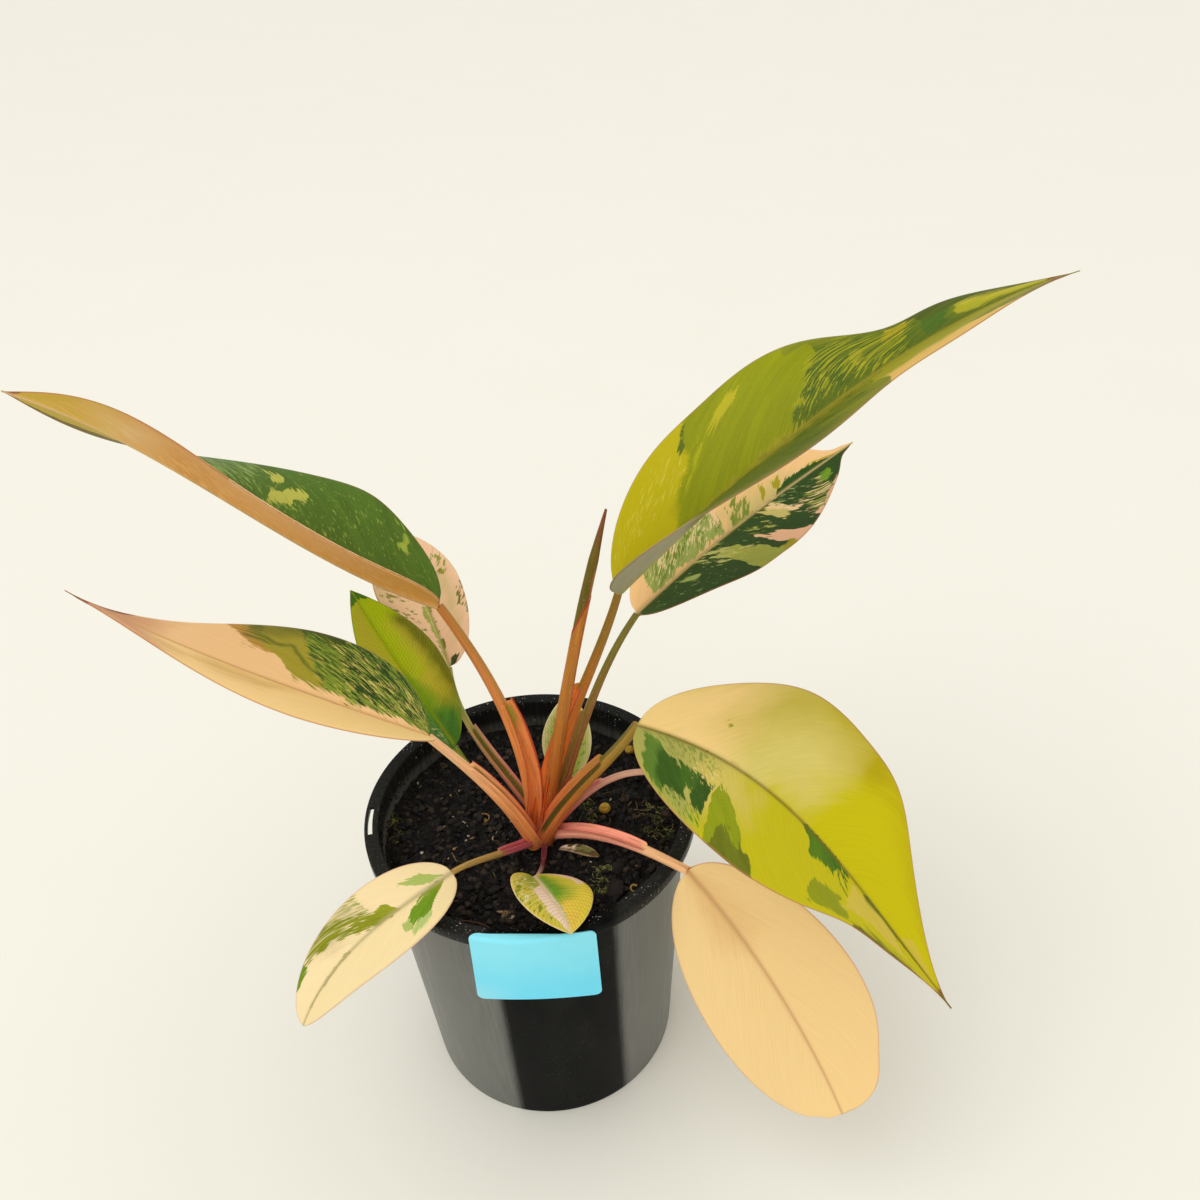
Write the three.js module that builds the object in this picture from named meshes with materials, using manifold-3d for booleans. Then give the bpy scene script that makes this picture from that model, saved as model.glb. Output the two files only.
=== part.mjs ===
// A variegated rojo congo philodendron in an 11 cm nursery pot. Millimetres, +Z up.
// The origin is the centre of the pot's flat foot. The label faces -Y.
import * as THREE from "three";
import { mergeVertices } from "three/addons/utils/BufferGeometryUtils.js";
import Module from "manifold-3d";

const wasm = await Module();
wasm.setup();

// Driving dimensions

const GAP = 0.3; // between pieces that touch

const POT = {
  height: 112,
  rimRadius: 55,
  footRadius: 45,
  topRadius: 51.6, // outside of the wall, just below the flange
  wall: 1.2,
  base: 1.6,
  lipHeight: 4,
  lipThickness: 1.1,
  edge: 0.5, // chamfer of the rim and the foot
  sides: 60,
  drainHoles: 6,
  drainRadius: 4,
  drainCircle: 30,
  slotInner: 52.3, // hanger slots in the flange
  slotOuter: 53.8,
  slotArc: 13, // degrees
  slotPlaces: [184, 4], // degrees from +X
};

const SOIL = {
  top: 101,
  relief: 0.3, // height of the low bumps, which fade out over "border" near the wall
  border: 8,
  mound: 0.6, // rise round the stem
  moundRadius: 16,
  rings: 6,
  sides: 30,
};

// The label starts on top of the rim, "over" from its edge at the middle, and hangs down. Its upper
// edge falls by "slope" from the middle to the right and by "arch" to both ends. "flare" is how far
// its lower corners stand off. turn is in degrees from the front.
const LABEL = {
  width: 38, height: 30, thickness: 0.6, turn: 1.5, columns: 10,
  over: 2.2, slope: 1.5, arch: 1.8, flare: 1.1,
};

const STEM = {
  at: [4, -5],
  profile: [[2.2, 70], [3.6, 80], [4.6, 92], [5, 100], [4.8, 104.5], [3, 107.5]], // radius, height
  rootRadius: [1.6, 0.9],
  rootTurns: [20, 92, 164, 236, 308], // degrees from +X
  rootTop: 92, // the first root's height; each next one starts "rootStep" lower
  rootStep: 2,
  rootReach: 24,
  rootDepth: 34,
  sides: 16,
  rootSides: 6,
};

// The mesh lines of a blade lie at "columns", shares of the half width, and on both sides of its rib,
// which is no wider than the share "ribLimit"
const BLADE = {
  thickness: 0.8,
  rib: 1.1,
  ribWidth: 1.6,
  ribLimit: 0.2,
  columns: [0.28, 0.55, 0.82, 1],
  rows: 8,
  rowsIfWide: 13,
  wide: 20,
};

// A sheath wing stands "wingTurn" from the top of the stalk, in radians
const PETIOLE = { sides: 10, stepLength: 8, wingTurn: Math.PI / 5, wingWidth: 0.35 };

// Each leaf: midrib and petiole are four Bezier points. half is the widest half width, at the share
// "widest" of the length, and "tip" draws the tip out. lean and twist turn the blade about its
// midrib in degrees. fold lifts the halves: left at base and tip, right at base and tip, as seen
// from the base. bend curls them. nicks narrow one half of the blade: side, place, share and length.
// lobe is how far the base reaches back past the petiole. wing is the sheath's height over the
// share "sheath" of the petiole.
const LEAVES = {
  left_long: {
    midrib: [[-21, 11, 187], [-62, 12, 206], [-91, 27, 238], [-139, 37, 253]],
    half: 26.8, widest: 0.36, tip: 1.17, lean: -6, twist: -98,
    fold: [62, 17, 48, 20], bend: [-0.25, -0.12], lobe: 0,
    nicks: [[-1, 0.33, -0.07, 0.12], [1, 0.25, -0.1, 0.12]],
    petiole: [[1, -3, 106], [2, 1, 140], [-9, 6, 166]],
    radius: [3, 1.4], sheath: 0.52, wing: 2.8,
    blade: "#3f6d35", stalk: "#c9794a",
  },
  left_low: {
    midrib: [[-26, -14, 157], [-48, -19, 176], [-93, -15, 197], [-111, -20, 222]],
    half: 26.2, widest: 0.38, tip: 1.62, lean: -8, twist: -26,
    fold: [29, -1, 25, 0], bend: [-0.05, 0], lobe: 0,
    nicks: [[1, 0.73, 0.07, 0.12]],
    petiole: [[1, -10, 103], [-6, -11, 126], [-16, -13, 142]],
    radius: [2.8, 1.3], sheath: 0.68, wing: 1.8,
    blade: "#d9b87a", stalk: "#c98654",
  },
  back_green: {
    midrib: [[-24, 12, 128], [-34, 16, 150], [-43, 26, 160], [-53, 35, 178]],
    half: 14, widest: 0.48, tip: 0.9, lean: 0, twist: 8,
    fold: [24, 22, 22, 24], bend: [-0.05, -0.08], lobe: 0, nicks: [],
    petiole: [[1, -4, 104], [-9, 0, 112], [-18, 6, 118]],
    radius: [1.7, 1.1], sheath: 0.4, wing: 1.0,
    blade: "#5d962a", stalk: "#a59a4e",
  },
  back_pink: {
    midrib: [[-25, 32, 146], [-30, 43, 162], [-36, 52, 172], [-42, 61, 183]],
    half: 18, widest: 0.55, tip: 0.7, lean: -19, twist: 5,
    fold: [16, 6, 10, 10], bend: [-0.08, -0.2], lobe: 0, nicks: [],
    petiole: [[2, -1, 106], [-10, 11, 120], [-24, 21, 129]],
    radius: [1.8, 1], sheath: 0.62, wing: 1.7,
    blade: "#f0c9a2", stalk: "#b5894f",
  },
  right_tall: {
    midrib: [[33, 15, 185], [72, 13, 228], [118, 39, 255], [171, 50, 264]],
    half: 29.6, widest: 0.36, tip: 1.47, lean: -21, twist: 32,
    fold: [24, 17, 69, 14], bend: [-0.13, -0.06], lobe: 0,
    nicks: [[-1, 0.33, 0.07, 0.11], [-1, 0.67, 0.38, 0.1], [1, 0.35, -0.13, 0.12], [1, 0.6, 0.28, 0.12]],
    petiole: [[4, -5, 106], [9, 1, 139], [25, 8, 161]],
    radius: [3.2, 1.25], sheath: 0.6, wing: 2.0,
    blade: "#8f9c1c", stalk: "#bd6a3c",
  },
  right_behind: {
    midrib: [[39, 29, 166], [71, 53, 181], [88, 64, 185], [119, 84, 194]],
    half: 21.5, widest: 0.47, tip: 1.16, lean: -16, twist: -14,
    fold: [27, 23, 34, 8], bend: [-0.17, -0.07], lobe: 0,
    nicks: [[1, 0.3, -0.1, 0.12]],
    petiole: [[7, -1, 106], [17, 9, 129], [24, 19, 150]],
    radius: [2.4, 1.1], sheath: 0.5, wing: 1.5,
    blade: "#4b7337", stalk: "#98743f",
  },
  right_front: {
    midrib: [[36, -12, 155], [78, -29, 151], [90, -49, 133], [119, -78, 101]],
    half: 33.8, widest: 0.41, tip: 1.54, lean: 0, twist: 17,
    fold: [-2, 22, 4, 13], bend: [0.09, -0.01], lobe: 0,
    nicks: [[-1, 0.3, -0.15, 0.14], [-1, 0.61, -0.1, 0.12], [1, 0.5, 0.05, 0.3], [1, 0.75, 0.18, 0.1]],
    petiole: [[4, -9, 104], [12, -10, 126], [26, -11, 137]],
    radius: [3.2, 1.6], sheath: 0.7, wing: 1.8,
    blade: "#b7b824", stalk: "#b87a44",
  },
  cream_low: {
    midrib: [[49, -35, 115], [69, -53, 99], [88, -63, 55], [93, -77, 46]],
    half: 24.8, widest: 0.49, tip: 0.44, lean: -45, twist: 16,
    fold: [16, 0, -2, 3], bend: [0.07, -0.16], lobe: 0,
    nicks: [[-1, 0.81, 0.08, 0.12]],
    petiole: [[6, -7, 104], [23, -17, 118], [37, -26, 115]],
    radius: [2.4, 1.4], sheath: 0.68, wing: 1.4,
    blade: "#eccb8c", stalk: "#d4685a",
  },
  cream_small: {
    midrib: [[-22, -36, 122], [-37, -49, 123], [-59, -53, 109], [-67, -67, 95]],
    half: 13, widest: 0.45, tip: 0.66, lean: 11, twist: -8,
    fold: [-1, 17, 5, 15], bend: [-0.08, 0], lobe: 0, nicks: [],
    petiole: [[2, -9, 104], [-7, -19, 109], [-15, -28, 119]],
    radius: [1.5, 0.9], sheath: 0.45, wing: 1.0,
    blade: "#ead9a4", stalk: "#a9794a",
  },
  heart: {
    midrib: [[2, -33, 113.5], [6, -41, 117], [11, -49, 117], [13, -56, 115.5]],
    half: 13.5, widest: 0.45, tip: 0.93, lean: 19, twist: -5,
    fold: [13, 17, 22, 13], bend: [-0.18, 0], lobe: 2, nicks: [],
    petiole: [[4, -9, 104], [5, -19, 104.5], [3, -28, 108]],
    radius: [1, 0.7], sheath: 0.4, wing: 0.6,
    blade: "#9fae3c", stalk: "#cf7f74",
  },
  back_small: {
    midrib: [[13, 14, 108], [13, 22, 115], [14, 28, 122], [14, 35, 128]],
    half: 9.2, widest: 0.42, tip: 0.8, lean: 10, twist: -6,
    fold: [14, 15, 19, 14], bend: [0, 0], lobe: 0, nicks: [],
    petiole: [[5, -3, 104], [8, 4, 105], [11, 10, 106]],
    radius: [1.4, 0.9], sheath: 0.4, wing: 0.7,
    blade: "#a5b95a", stalk: "#a98a4c",
  },
  hidden: {
    midrib: [[39, -7, 130], [49, -5, 132], [60, -1, 129], [72, 3, 122]],
    half: 10, widest: 0.45, tip: 0.9, lean: 0, twist: 0,
    fold: [12, 12, 12, 12], bend: [0, 0], lobe: 0, nicks: [],
    petiole: [[7, -5, 104], [16, -6, 120], [27, -6, 131]],
    radius: [1.6, 1], sheath: 0.6, wing: 0.9,
    blade: "#d8cf86", stalk: "#e09a86",
  },
};

const SPEAR = {
  route: [[5.5, -4, 108], [13.5, -1, 155], [21.5, 3, 190], [30.5, 6, 220.5]],
  radius: [2.5, 2.3, 2, 1.8, 1.8, 1.6, 0.4],
  steps: 16,
  sides: 10,
};

const SCALE_LEAF = {
  midrib: [[10, -14, 103.6], [13, -15, 104.4], [16, -16, 104.6], [20, -17, 103.8]],
  half: 2.4, widest: 0.6, tip: 0.8, lean: 0, twist: 0,
  fold: [20, 10, 20, 10], bend: [0, 0], lobe: 0, nicks: [],
};

// Pieces nearer the top of this list keep their whole foot where petioles crowd at the crown
const CROWN_ORDER = [
  "right_front", "left_low", "left_long", "right_tall", "cream_low", "right_behind",
  "back_pink", "cream_small", "hidden", "back_green", "back_small", "heart",
];

// Solids

function solidOf(geometry) {
  const bare = geometry.clone();
  for (const name of Object.keys(bare.attributes)) if (name !== "position") bare.deleteAttribute(name);
  const merged = mergeVertices(bare, 1e-4);
  return new wasm.Manifold(new wasm.Mesh({
    numProp: 3,
    vertProperties: new Float32Array(merged.attributes.position.array),
    triVerts: new Uint32Array(merged.index.array),
  }));
}

function largestBody(solid) {
  return solid.decompose().reduce((best, body) => (body.volume() > best.volume() ? body : best));
}

function geometryOf(solid) {
  const mesh = solid.getMesh();
  const geometry = new THREE.BufferGeometry();
  geometry.setAttribute("position", new THREE.BufferAttribute(new Float32Array(mesh.vertProperties), 3));
  geometry.setIndex(new THREE.BufferAttribute(new Uint32Array(mesh.triVerts), 1));
  geometry.computeVertexNormals();
  return geometry;
}

function indexedGeometry(points, triangles) {
  const geometry = new THREE.BufferGeometry().setFromPoints(points);
  geometry.setIndex(triangles);
  geometry.computeVertexNormals();
  return geometry;
}

// Skins a list of rings, each with the same number of points, and closes both ends
function loft(rings) {
  const sides = rings[0].length;
  const points = rings.flat();
  const triangles = [];
  for (let r = 0; r + 1 < rings.length; r++) {
    for (let s = 0; s < sides; s++) {
      const a = r * sides + s;
      const b = r * sides + ((s + 1) % sides);
      triangles.push(a, b, b + sides, a, b + sides, a + sides);
    }
  }
  const ends = [[0, 1], [(rings.length - 1) * sides, -1]];
  for (const [first, way] of ends) {
    const middle = points.length;
    points.push(centreOf(points.slice(first, first + sides)));
    for (let s = 0; s < sides; s++) {
      const pair = [first + ((s + 1) % sides), first + s];
      triangles.push(middle, ...(way > 0 ? pair : pair.reverse()));
    }
  }
  return indexedGeometry(points, triangles);
}

function centreOf(points) {
  const sum = points.reduce((total, point) => total.add(point), new THREE.Vector3());
  return sum.divideScalar(points.length);
}

function bezier(points) {
  return new THREE.CubicBezierCurve3(...points.map((p) => new THREE.Vector3(...p)));
}

// Along a curve: the direction, the level side direction, and the direction that faces up
function frameAt(curve, t) {
  const along = curve.getTangent(t);
  const side = along.clone().cross(new THREE.Vector3(0, 0, 1)).normalize();
  const up = side.clone().cross(along);
  return { at: curve.getPoint(t), along, side, up };
}

// Leaf blades

const bump = (x, width) => Math.exp(-((x / width) ** 2));

function halfWidth(leaf, u, side) {
  const beyond = Math.max(u - leaf.widest, 0) / (1 - leaf.widest);
  const within = Math.min(u / leaf.widest, 1);
  const share = Math.sqrt(1 - (1 - within) ** 2) * Math.max(1 - beyond ** 1.8, 0) ** leaf.tip;
  const narrowed = leaf.nicks
    .filter((nick) => nick[0] === side)
    .reduce((rest, [, place, depth, length]) => rest - depth * bump(u - place, length), 1);
  return Math.max(leaf.half * share * narrowed, BLADE.thickness);
}

// The blade's middle surface: u runs from base to tip, v from the left margin, -1, to the right, 1
function bladePoint(leaf, curve, u, v) {
  const { at, along, side, up } = frameAt(curve, u);
  const roll = THREE.MathUtils.degToRad(leaf.lean + leaf.twist * u * u);
  const right = side.clone().multiplyScalar(Math.cos(roll)).addScaledVector(up, Math.sin(roll));
  const normal = up.clone().multiplyScalar(Math.cos(roll)).addScaledVector(side, -Math.sin(roll));
  const [base, tip] = v > 0 ? leaf.fold.slice(2) : leaf.fold.slice(0, 2);
  const fold = THREE.MathUtils.degToRad(base + (tip - base) * u);
  const out = Math.abs(v);
  const half = halfWidth(leaf, u, Math.sign(v));
  const rise = half * (out * Math.sin(fold) + (v > 0 ? leaf.bend[1] : leaf.bend[0]) * out * out);
  const back = leaf.lobe * out * (1 - u) ** 3;
  return at
    .addScaledVector(right, half * v * Math.cos(fold))
    .addScaledVector(normal, rise)
    .addScaledVector(along, -back);
}

function bladeNormal(leaf, curve, u, v) {
  const step = 0.01;
  const ahead = bladePoint(leaf, curve, Math.min(u + step, 1), v);
  const behind = bladePoint(leaf, curve, Math.max(u - step, 0), v);
  const right = bladePoint(leaf, curve, u, Math.min(v + step * 4, 1));
  const left = bladePoint(leaf, curve, u, Math.max(v - step * 4, -1));
  return right.sub(left).cross(ahead.sub(behind)).normalize();
}

// A closed blade: its upper and lower faces share one grid, and the midrib stands out below
function bladeGeometry(leaf, extra = 0) {
  const rows = leaf.half > BLADE.wide ? BLADE.rowsIfWide : BLADE.rows;
  const curve = bezier(leaf.midrib);
  const start = (0.5 - extra) / curve.getLength();
  const half = [Math.min(BLADE.ribWidth / leaf.half, BLADE.ribLimit), ...BLADE.columns];
  const across = [...half.map((v) => -v).reverse(), 0, ...half];
  const columns = across.length;
  const upper = [];
  const lower = [];
  for (let row = 0; row <= rows; row++) {
    const u = start + (1 - start) * (row / rows);
    for (const v of across) {
      const point = bladePoint(leaf, curve, u, v);
      const normal = bladeNormal(leaf, curve, u, v);
      const ribDepth = v === 0 ? BLADE.rib * (1 - u) : 0;
      const skin = BLADE.thickness / 2 + extra;
      upper.push(point.clone().addScaledVector(normal, skin));
      lower.push(point.clone().addScaledVector(normal, -skin - ribDepth));
    }
  }
  const count = upper.length;
  const triangles = [];
  const quad = (a, b, c, d) => triangles.push(a, b, c, a, c, d);
  for (let row = 0; row < rows; row++) {
    for (let column = 0; column + 1 < columns; column++) {
      const a = row * columns + column;
      quad(a, a + 1, a + columns + 1, a + columns);
      triangles.push(count + a, count + a + columns + 1, count + a + 1);
      triangles.push(count + a, count + a + columns, count + a + columns + 1);
    }
    const left = row * columns;
    const right = left + columns - 1;
    quad(left, left + columns, count + left + columns, count + left);
    quad(right, count + right, count + right + columns, right + columns);
  }
  for (let column = 0; column + 1 < columns; column++) {
    const last = rows * columns + column;
    quad(column, count + column, count + column + 1, column + 1);
    quad(last, last + 1, count + last + 1, count + last);
  }
  return indexedGeometry([...upper, ...lower], triangles);
}

// Sweeps a section along a curve: reach(t, angle) is its radius, and angle 0 faces up. extra makes
// the same shape larger on every side, ends included.
function sweep(curve, steps, sides, reach, extra = 0) {
  const rings = [];
  for (let step = 0; step <= steps; step++) {
    const t = step / steps;
    const { at, along, side, up } = frameAt(curve, t);
    if (step === 0) at.addScaledVector(along, -extra);
    if (step === steps) at.addScaledVector(along, extra);
    rings.push(Array.from({ length: sides }, (_, s) => {
      const angle = (s / sides) * 2 * Math.PI;
      const radius = reach(t, angle) + extra;
      return at.clone()
        .addScaledVector(up, radius * Math.cos(angle))
        .addScaledVector(side, radius * Math.sin(angle));
    }));
  }
  return loft(rings);
}

// Petioles: a round stalk whose lower part carries two sheath wings on its upper side
function petioleGeometry(leaf, extra = 0) {
  const curve = bezier([...leaf.petiole, leaf.midrib[0]]);
  const steps = Math.max(5, Math.round(curve.getLength() / PETIOLE.stepLength));
  const reach = (t, angle) => {
    const fromUp = Math.min(angle, 2 * Math.PI - angle);
    const wing = leaf.wing * Math.sqrt(Math.max(0, 1 - (t / leaf.sheath) ** 3));
    const section = bump(fromUp - PETIOLE.wingTurn, PETIOLE.wingWidth);
    return THREE.MathUtils.lerp(...leaf.radius, Math.sqrt(t)) + wing * section;
  };
  return sweep(curve, steps, PETIOLE.sides, reach, extra);
}

// The furled leaf: a slender roll drawn out to a point
function spearGeometry(extra = 0) {
  const last = SPEAR.radius.length - 1;
  const reach = (t) => {
    const before = Math.min(Math.floor(t * last), last - 1);
    return THREE.MathUtils.lerp(SPEAR.radius[before], SPEAR.radius[before + 1], t * last - before);
  };
  return sweep(bezier(SPEAR.route), SPEAR.steps, SPEAR.sides, reach, extra);
}

// Stem and roots

function stemSolid(extra = 0) {
  const [x, y] = STEM.at;
  const lowest = STEM.profile[0];
  const highest = STEM.profile[STEM.profile.length - 1];
  const outline = [
    [0, lowest[1] - extra],
    ...STEM.profile.map(([radius, height]) => [radius + extra, height]),
    [0, highest[1] + extra],
  ];
  const body = new THREE.LatheGeometry(outline.map((p) => new THREE.Vector2(...p)), STEM.sides);
  body.rotateX(Math.PI / 2).translate(x, y, 0);
  let solid = solidOf(body);
  STEM.rootTurns.forEach((turn, number) => {
    const angle = THREE.MathUtils.degToRad(turn);
    const out = new THREE.Vector3(Math.cos(angle), Math.sin(angle), 0);
    const top = STEM.rootTop - STEM.rootStep * number;
    const place = (reach, height) => [x + out.x * reach, y + out.y * reach, height];
    const curve = bezier([
      place(0, top),
      place(STEM.rootReach * 0.6, top),
      place(STEM.rootReach, top - STEM.rootDepth * 0.5),
      place(STEM.rootReach * 1.1, top - STEM.rootDepth),
    ]);
    const reach = (t) => THREE.MathUtils.lerp(...STEM.rootRadius, t);
    solid = solid.add(solidOf(sweep(curve, STEM.rootSides, STEM.rootSides, reach, extra)));
  });
  return solid;
}

// Pot, soil and label

function wallRadius(height) {
  return THREE.MathUtils.lerp(POT.footRadius, POT.topRadius, height / POT.height);
}

function potGeometry() {
  const { height, rimRadius, wall, base, lipHeight, lipThickness, edge } = POT;
  const under = height - lipThickness;
  const outline = [
    [0, 0],
    [POT.footRadius - edge, 0],
    [POT.footRadius, edge],
    [wallRadius(under), under],
    [rimRadius - lipThickness, under],
    [rimRadius - lipThickness, height - lipHeight],
    [rimRadius, height - lipHeight],
    [rimRadius, height - edge],
    [rimRadius - edge, height],
    [POT.topRadius - wall + edge, height],
    [POT.topRadius - wall, height - edge],
    [wallRadius(base) - wall, base],
    [0, base],
  ];
  const body = new THREE.LatheGeometry(outline.map((p) => new THREE.Vector2(...p)), POT.sides);
  let solid = solidOf(body.rotateX(Math.PI / 2));
  for (let hole = 0; hole < POT.drainHoles; hole++) {
    const angle = (hole / POT.drainHoles) * 2 * Math.PI;
    const drill = new THREE.CylinderGeometry(POT.drainRadius, POT.drainRadius, base * 4, 16);
    drill.rotateX(Math.PI / 2);
    drill.translate(Math.cos(angle) * POT.drainCircle, Math.sin(angle) * POT.drainCircle, 0);
    solid = solid.subtract(solidOf(drill));
  }
  for (const place of POT.slotPlaces) {
    const from = THREE.MathUtils.degToRad(place - POT.slotArc / 2);
    const to = THREE.MathUtils.degToRad(place + POT.slotArc / 2);
    const shape = new THREE.Shape();
    shape.absarc(0, 0, POT.slotOuter, from, to, false);
    shape.absarc(0, 0, POT.slotInner, to, from, true);
    const cutter = new THREE.ExtrudeGeometry(shape, { depth: lipHeight, bevelEnabled: false, curveSegments: 4 });
    solid = solid.subtract(solidOf(cutter.translate(0, 0, height - lipHeight / 2)));
  }
  return geometryOf(solid);
}

function soilGeometry(stem) {
  const low = POT.base + GAP;
  const inside = (height) => wallRadius(height) - POT.wall - GAP;
  const outline = [new THREE.Vector2(0, low), new THREE.Vector2(inside(low), low)];
  for (let ring = 0; ring <= SOIL.rings; ring++) {
    outline.push(new THREE.Vector2(inside(SOIL.top) * (1 - ring / SOIL.rings), SOIL.top));
  }
  const body = new THREE.LatheGeometry(outline, SOIL.sides).rotateX(Math.PI / 2);
  const place = body.attributes.position;
  for (let i = 0; i < place.count; i++) {
    if (place.getZ(i) < SOIL.top - 1) continue;
    const x = place.getX(i);
    const y = place.getY(i);
    const relief = Math.sin(x * 0.31 + 1) * Math.cos(y * 0.27) + 0.6 * Math.sin(x * 0.17 - y * 0.45);
    const mound = bump(Math.hypot(x - STEM.at[0], y - STEM.at[1]), SOIL.moundRadius);
    const fade = Math.min(1, (inside(SOIL.top) - Math.hypot(x, y)) / SOIL.border);
    place.setZ(i, SOIL.top + SOIL.relief * relief * fade + SOIL.mound * mound);
  }
  return geometryOf(largestBody(solidOf(body).subtract(stem)));
}

// A sticker bent over the front of the rim: down the lip, then hanging clear of the wall
function labelGeometry() {
  const rim = POT.rimRadius + GAP;
  const top = POT.height + GAP;
  const rings = [];
  for (let column = 0; column <= LABEL.columns; column++) {
    const across = (2 * column) / LABEL.columns - 1;
    const angle = THREE.MathUtils.degToRad(LABEL.turn - 90) + (across * LABEL.width) / 2 / rim;
    const start = -LABEL.over + LABEL.slope * across + LABEL.arch * across * across;
    const stops = [start, Math.max(start + 0.2, 0), Math.max(start + 1, POT.lipHeight), start + LABEL.height];
    const hang = LABEL.height - POT.lipHeight;
    const place = (down, out) => {
      const flare = LABEL.flare * across * across * Math.max(down - POT.lipHeight, 0) / hang;
      const radius = rim + out + Math.min(down, 0) + flare;
      const height = top + (down > 0 ? -down : out);
      return new THREE.Vector3(radius * Math.cos(angle), radius * Math.sin(angle), height);
    };
    const inner = stops.map((down) => place(down, 0));
    const outer = [place(start, LABEL.thickness), ...stops.slice(1).map((down) => place(down, LABEL.thickness))];
    rings.push([...outer, ...inner.reverse()]);
  }
  return loft(rings);
}

// Assembly

const plant = new THREE.Group();

function addPiece(name, geometry, color, roughness) {
  const material = new THREE.MeshStandardMaterial({ color, roughness, metalness: 0 });
  const mesh = new THREE.Mesh(geometry, material);
  mesh.name = name;
  plant.add(mesh);
}

const stem = stemSolid();
addPiece("pot", potGeometry(), "#1d1e1f", 0.35);
addPiece("soil", soilGeometry(stemSolid(GAP)), "#1c1815", 0.95);
addPiece("label", labelGeometry(), "#86dcef", 0.4);
addPiece("stem", geometryOf(stem), "#9c6b45", 0.6);

const spear = solidOf(spearGeometry());
const taken = [stemSolid(GAP), solidOf(spearGeometry(GAP))];
addPiece("spear", geometryOf(largestBody(spear.subtract(taken[0]))), "#a86f3c", 0.45);

for (const name of CROWN_ORDER) {
  const leaf = LEAVES[name];
  const around = solidOf(bladeGeometry(leaf, GAP));
  let petiole = solidOf(petioleGeometry(leaf)).subtract(around);
  for (const neighbour of taken) petiole = petiole.subtract(neighbour);
  taken.push(solidOf(petioleGeometry(leaf, GAP)));
  addPiece(`petiole_${name}`, geometryOf(largestBody(petiole)), leaf.stalk, 0.45);
  addPiece(`blade_${name}`, bladeGeometry(leaf), leaf.blade, 0.4);
}
addPiece("scale_leaf", bladeGeometry(SCALE_LEAF), "#9a8a5c", 0.7);

export default plant;
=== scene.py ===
"""A variegated rojo congo philodendron in a small nursery pot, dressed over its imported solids."""
import math
import random

import bpy
import numpy as np
from mathutils import Matrix, Vector, noise


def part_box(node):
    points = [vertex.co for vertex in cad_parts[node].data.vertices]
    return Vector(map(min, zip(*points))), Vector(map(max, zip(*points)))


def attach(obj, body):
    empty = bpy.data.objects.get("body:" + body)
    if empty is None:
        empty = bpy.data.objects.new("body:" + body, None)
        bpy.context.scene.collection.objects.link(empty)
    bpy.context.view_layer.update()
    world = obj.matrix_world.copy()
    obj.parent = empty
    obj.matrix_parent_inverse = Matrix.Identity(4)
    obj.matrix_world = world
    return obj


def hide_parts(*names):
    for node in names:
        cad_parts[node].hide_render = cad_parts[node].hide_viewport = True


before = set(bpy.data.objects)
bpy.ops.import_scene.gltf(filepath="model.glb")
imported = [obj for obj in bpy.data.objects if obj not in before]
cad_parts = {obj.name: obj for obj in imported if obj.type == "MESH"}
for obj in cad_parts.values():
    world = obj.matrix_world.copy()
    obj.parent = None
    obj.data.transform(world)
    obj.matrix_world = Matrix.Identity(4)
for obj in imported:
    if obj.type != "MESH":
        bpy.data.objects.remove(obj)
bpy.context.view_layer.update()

# Pot
# A thin-walled nursery pot of black polypropylene, moulded in one piece. A flange turns out at the
# top and down over the wall. Six drainage holes are in its base and two hanger slots in the flange.

MM = 0.001  # every size below is in millimetres

POT_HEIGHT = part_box("pot")[1].z / MM
RIM_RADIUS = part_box("pot")[1].x / MM
FOOT_RADIUS = 45
TOP_RADIUS = 51.6
POT_WALL = 1.2
POT_BASE = 1.6
LIP_HEIGHT = 4
LIP_THICKNESS = 1.1
POT_SIDES = 240
DRAIN_HOLES = 6
DRAIN_RADIUS = 4
DRAIN_CIRCLE = 30
SLOT_RADII = (52.3, 53.8)
SLOT_ARC = 13  # in degrees
SLOT_PLACES = (184, 4)
FOOT_EDGE = 0.5  # radii of the rounded edges, of the foot, under the lip and on top of the rim
LIP_EDGE = 0.35
RIM_EDGE = 0.55
FRONT_MIDDLE = 0.007  # middle of the strip at the front that is left black, with no painted reflection, in metres, as shaders measure
FRONT_HALF = (0.017, 0.022)  # how far beside it the painted grey reflection starts and is full


def wall_radius(height):
    """Outside radius of the tapered wall."""
    return FOOT_RADIUS + (TOP_RADIUS - FOOT_RADIUS) * height / POT_HEIGHT


def shade(code):
    """A colour code as the linear red, green and blue that a material takes."""
    parts = [int(code[place:place + 2], 16) / 255 for place in (1, 3, 5)]
    return tuple(c / 12.92 if c <= 0.04045 else ((c + 0.055) / 1.055) ** 2.4 for c in parts)


def paint(code):
    """A colour code as a shader colour."""
    return (*shade(code), 1)


def skin(rings):
    """Points and faces of a closed skin over rings that hold the same number of points."""
    rows, sides = rings.shape[:2]
    faces = []
    for row in range(rows - 1):
        for side in range(sides):
            a = row * sides + side
            b = row * sides + (side + 1) % sides
            faces.append((a, b, b + sides, a + sides))
    faces.append(tuple(reversed(range(sides))))
    faces.append(tuple(range((rows - 1) * sides, rows * sides)))
    return rings.reshape(-1, 3), faces


def turned(outline, sides):
    """Rings of a turned body. The outline runs from the foot up, as radius and height."""
    turns = np.linspace(0, 2 * math.pi, sides, endpoint=False)
    rings = [[(r * math.cos(turn), r * math.sin(turn), z) for turn in turns] for r, z in outline]
    return np.array(rings)


def corner(radius, height, size, first, last):
    """Outline points of a rounded edge, from one direction in degrees to another."""
    turns = np.radians(np.linspace(first, last, 5))
    return [(radius + size * math.cos(t), height + size * math.sin(t)) for t in turns]


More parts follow.
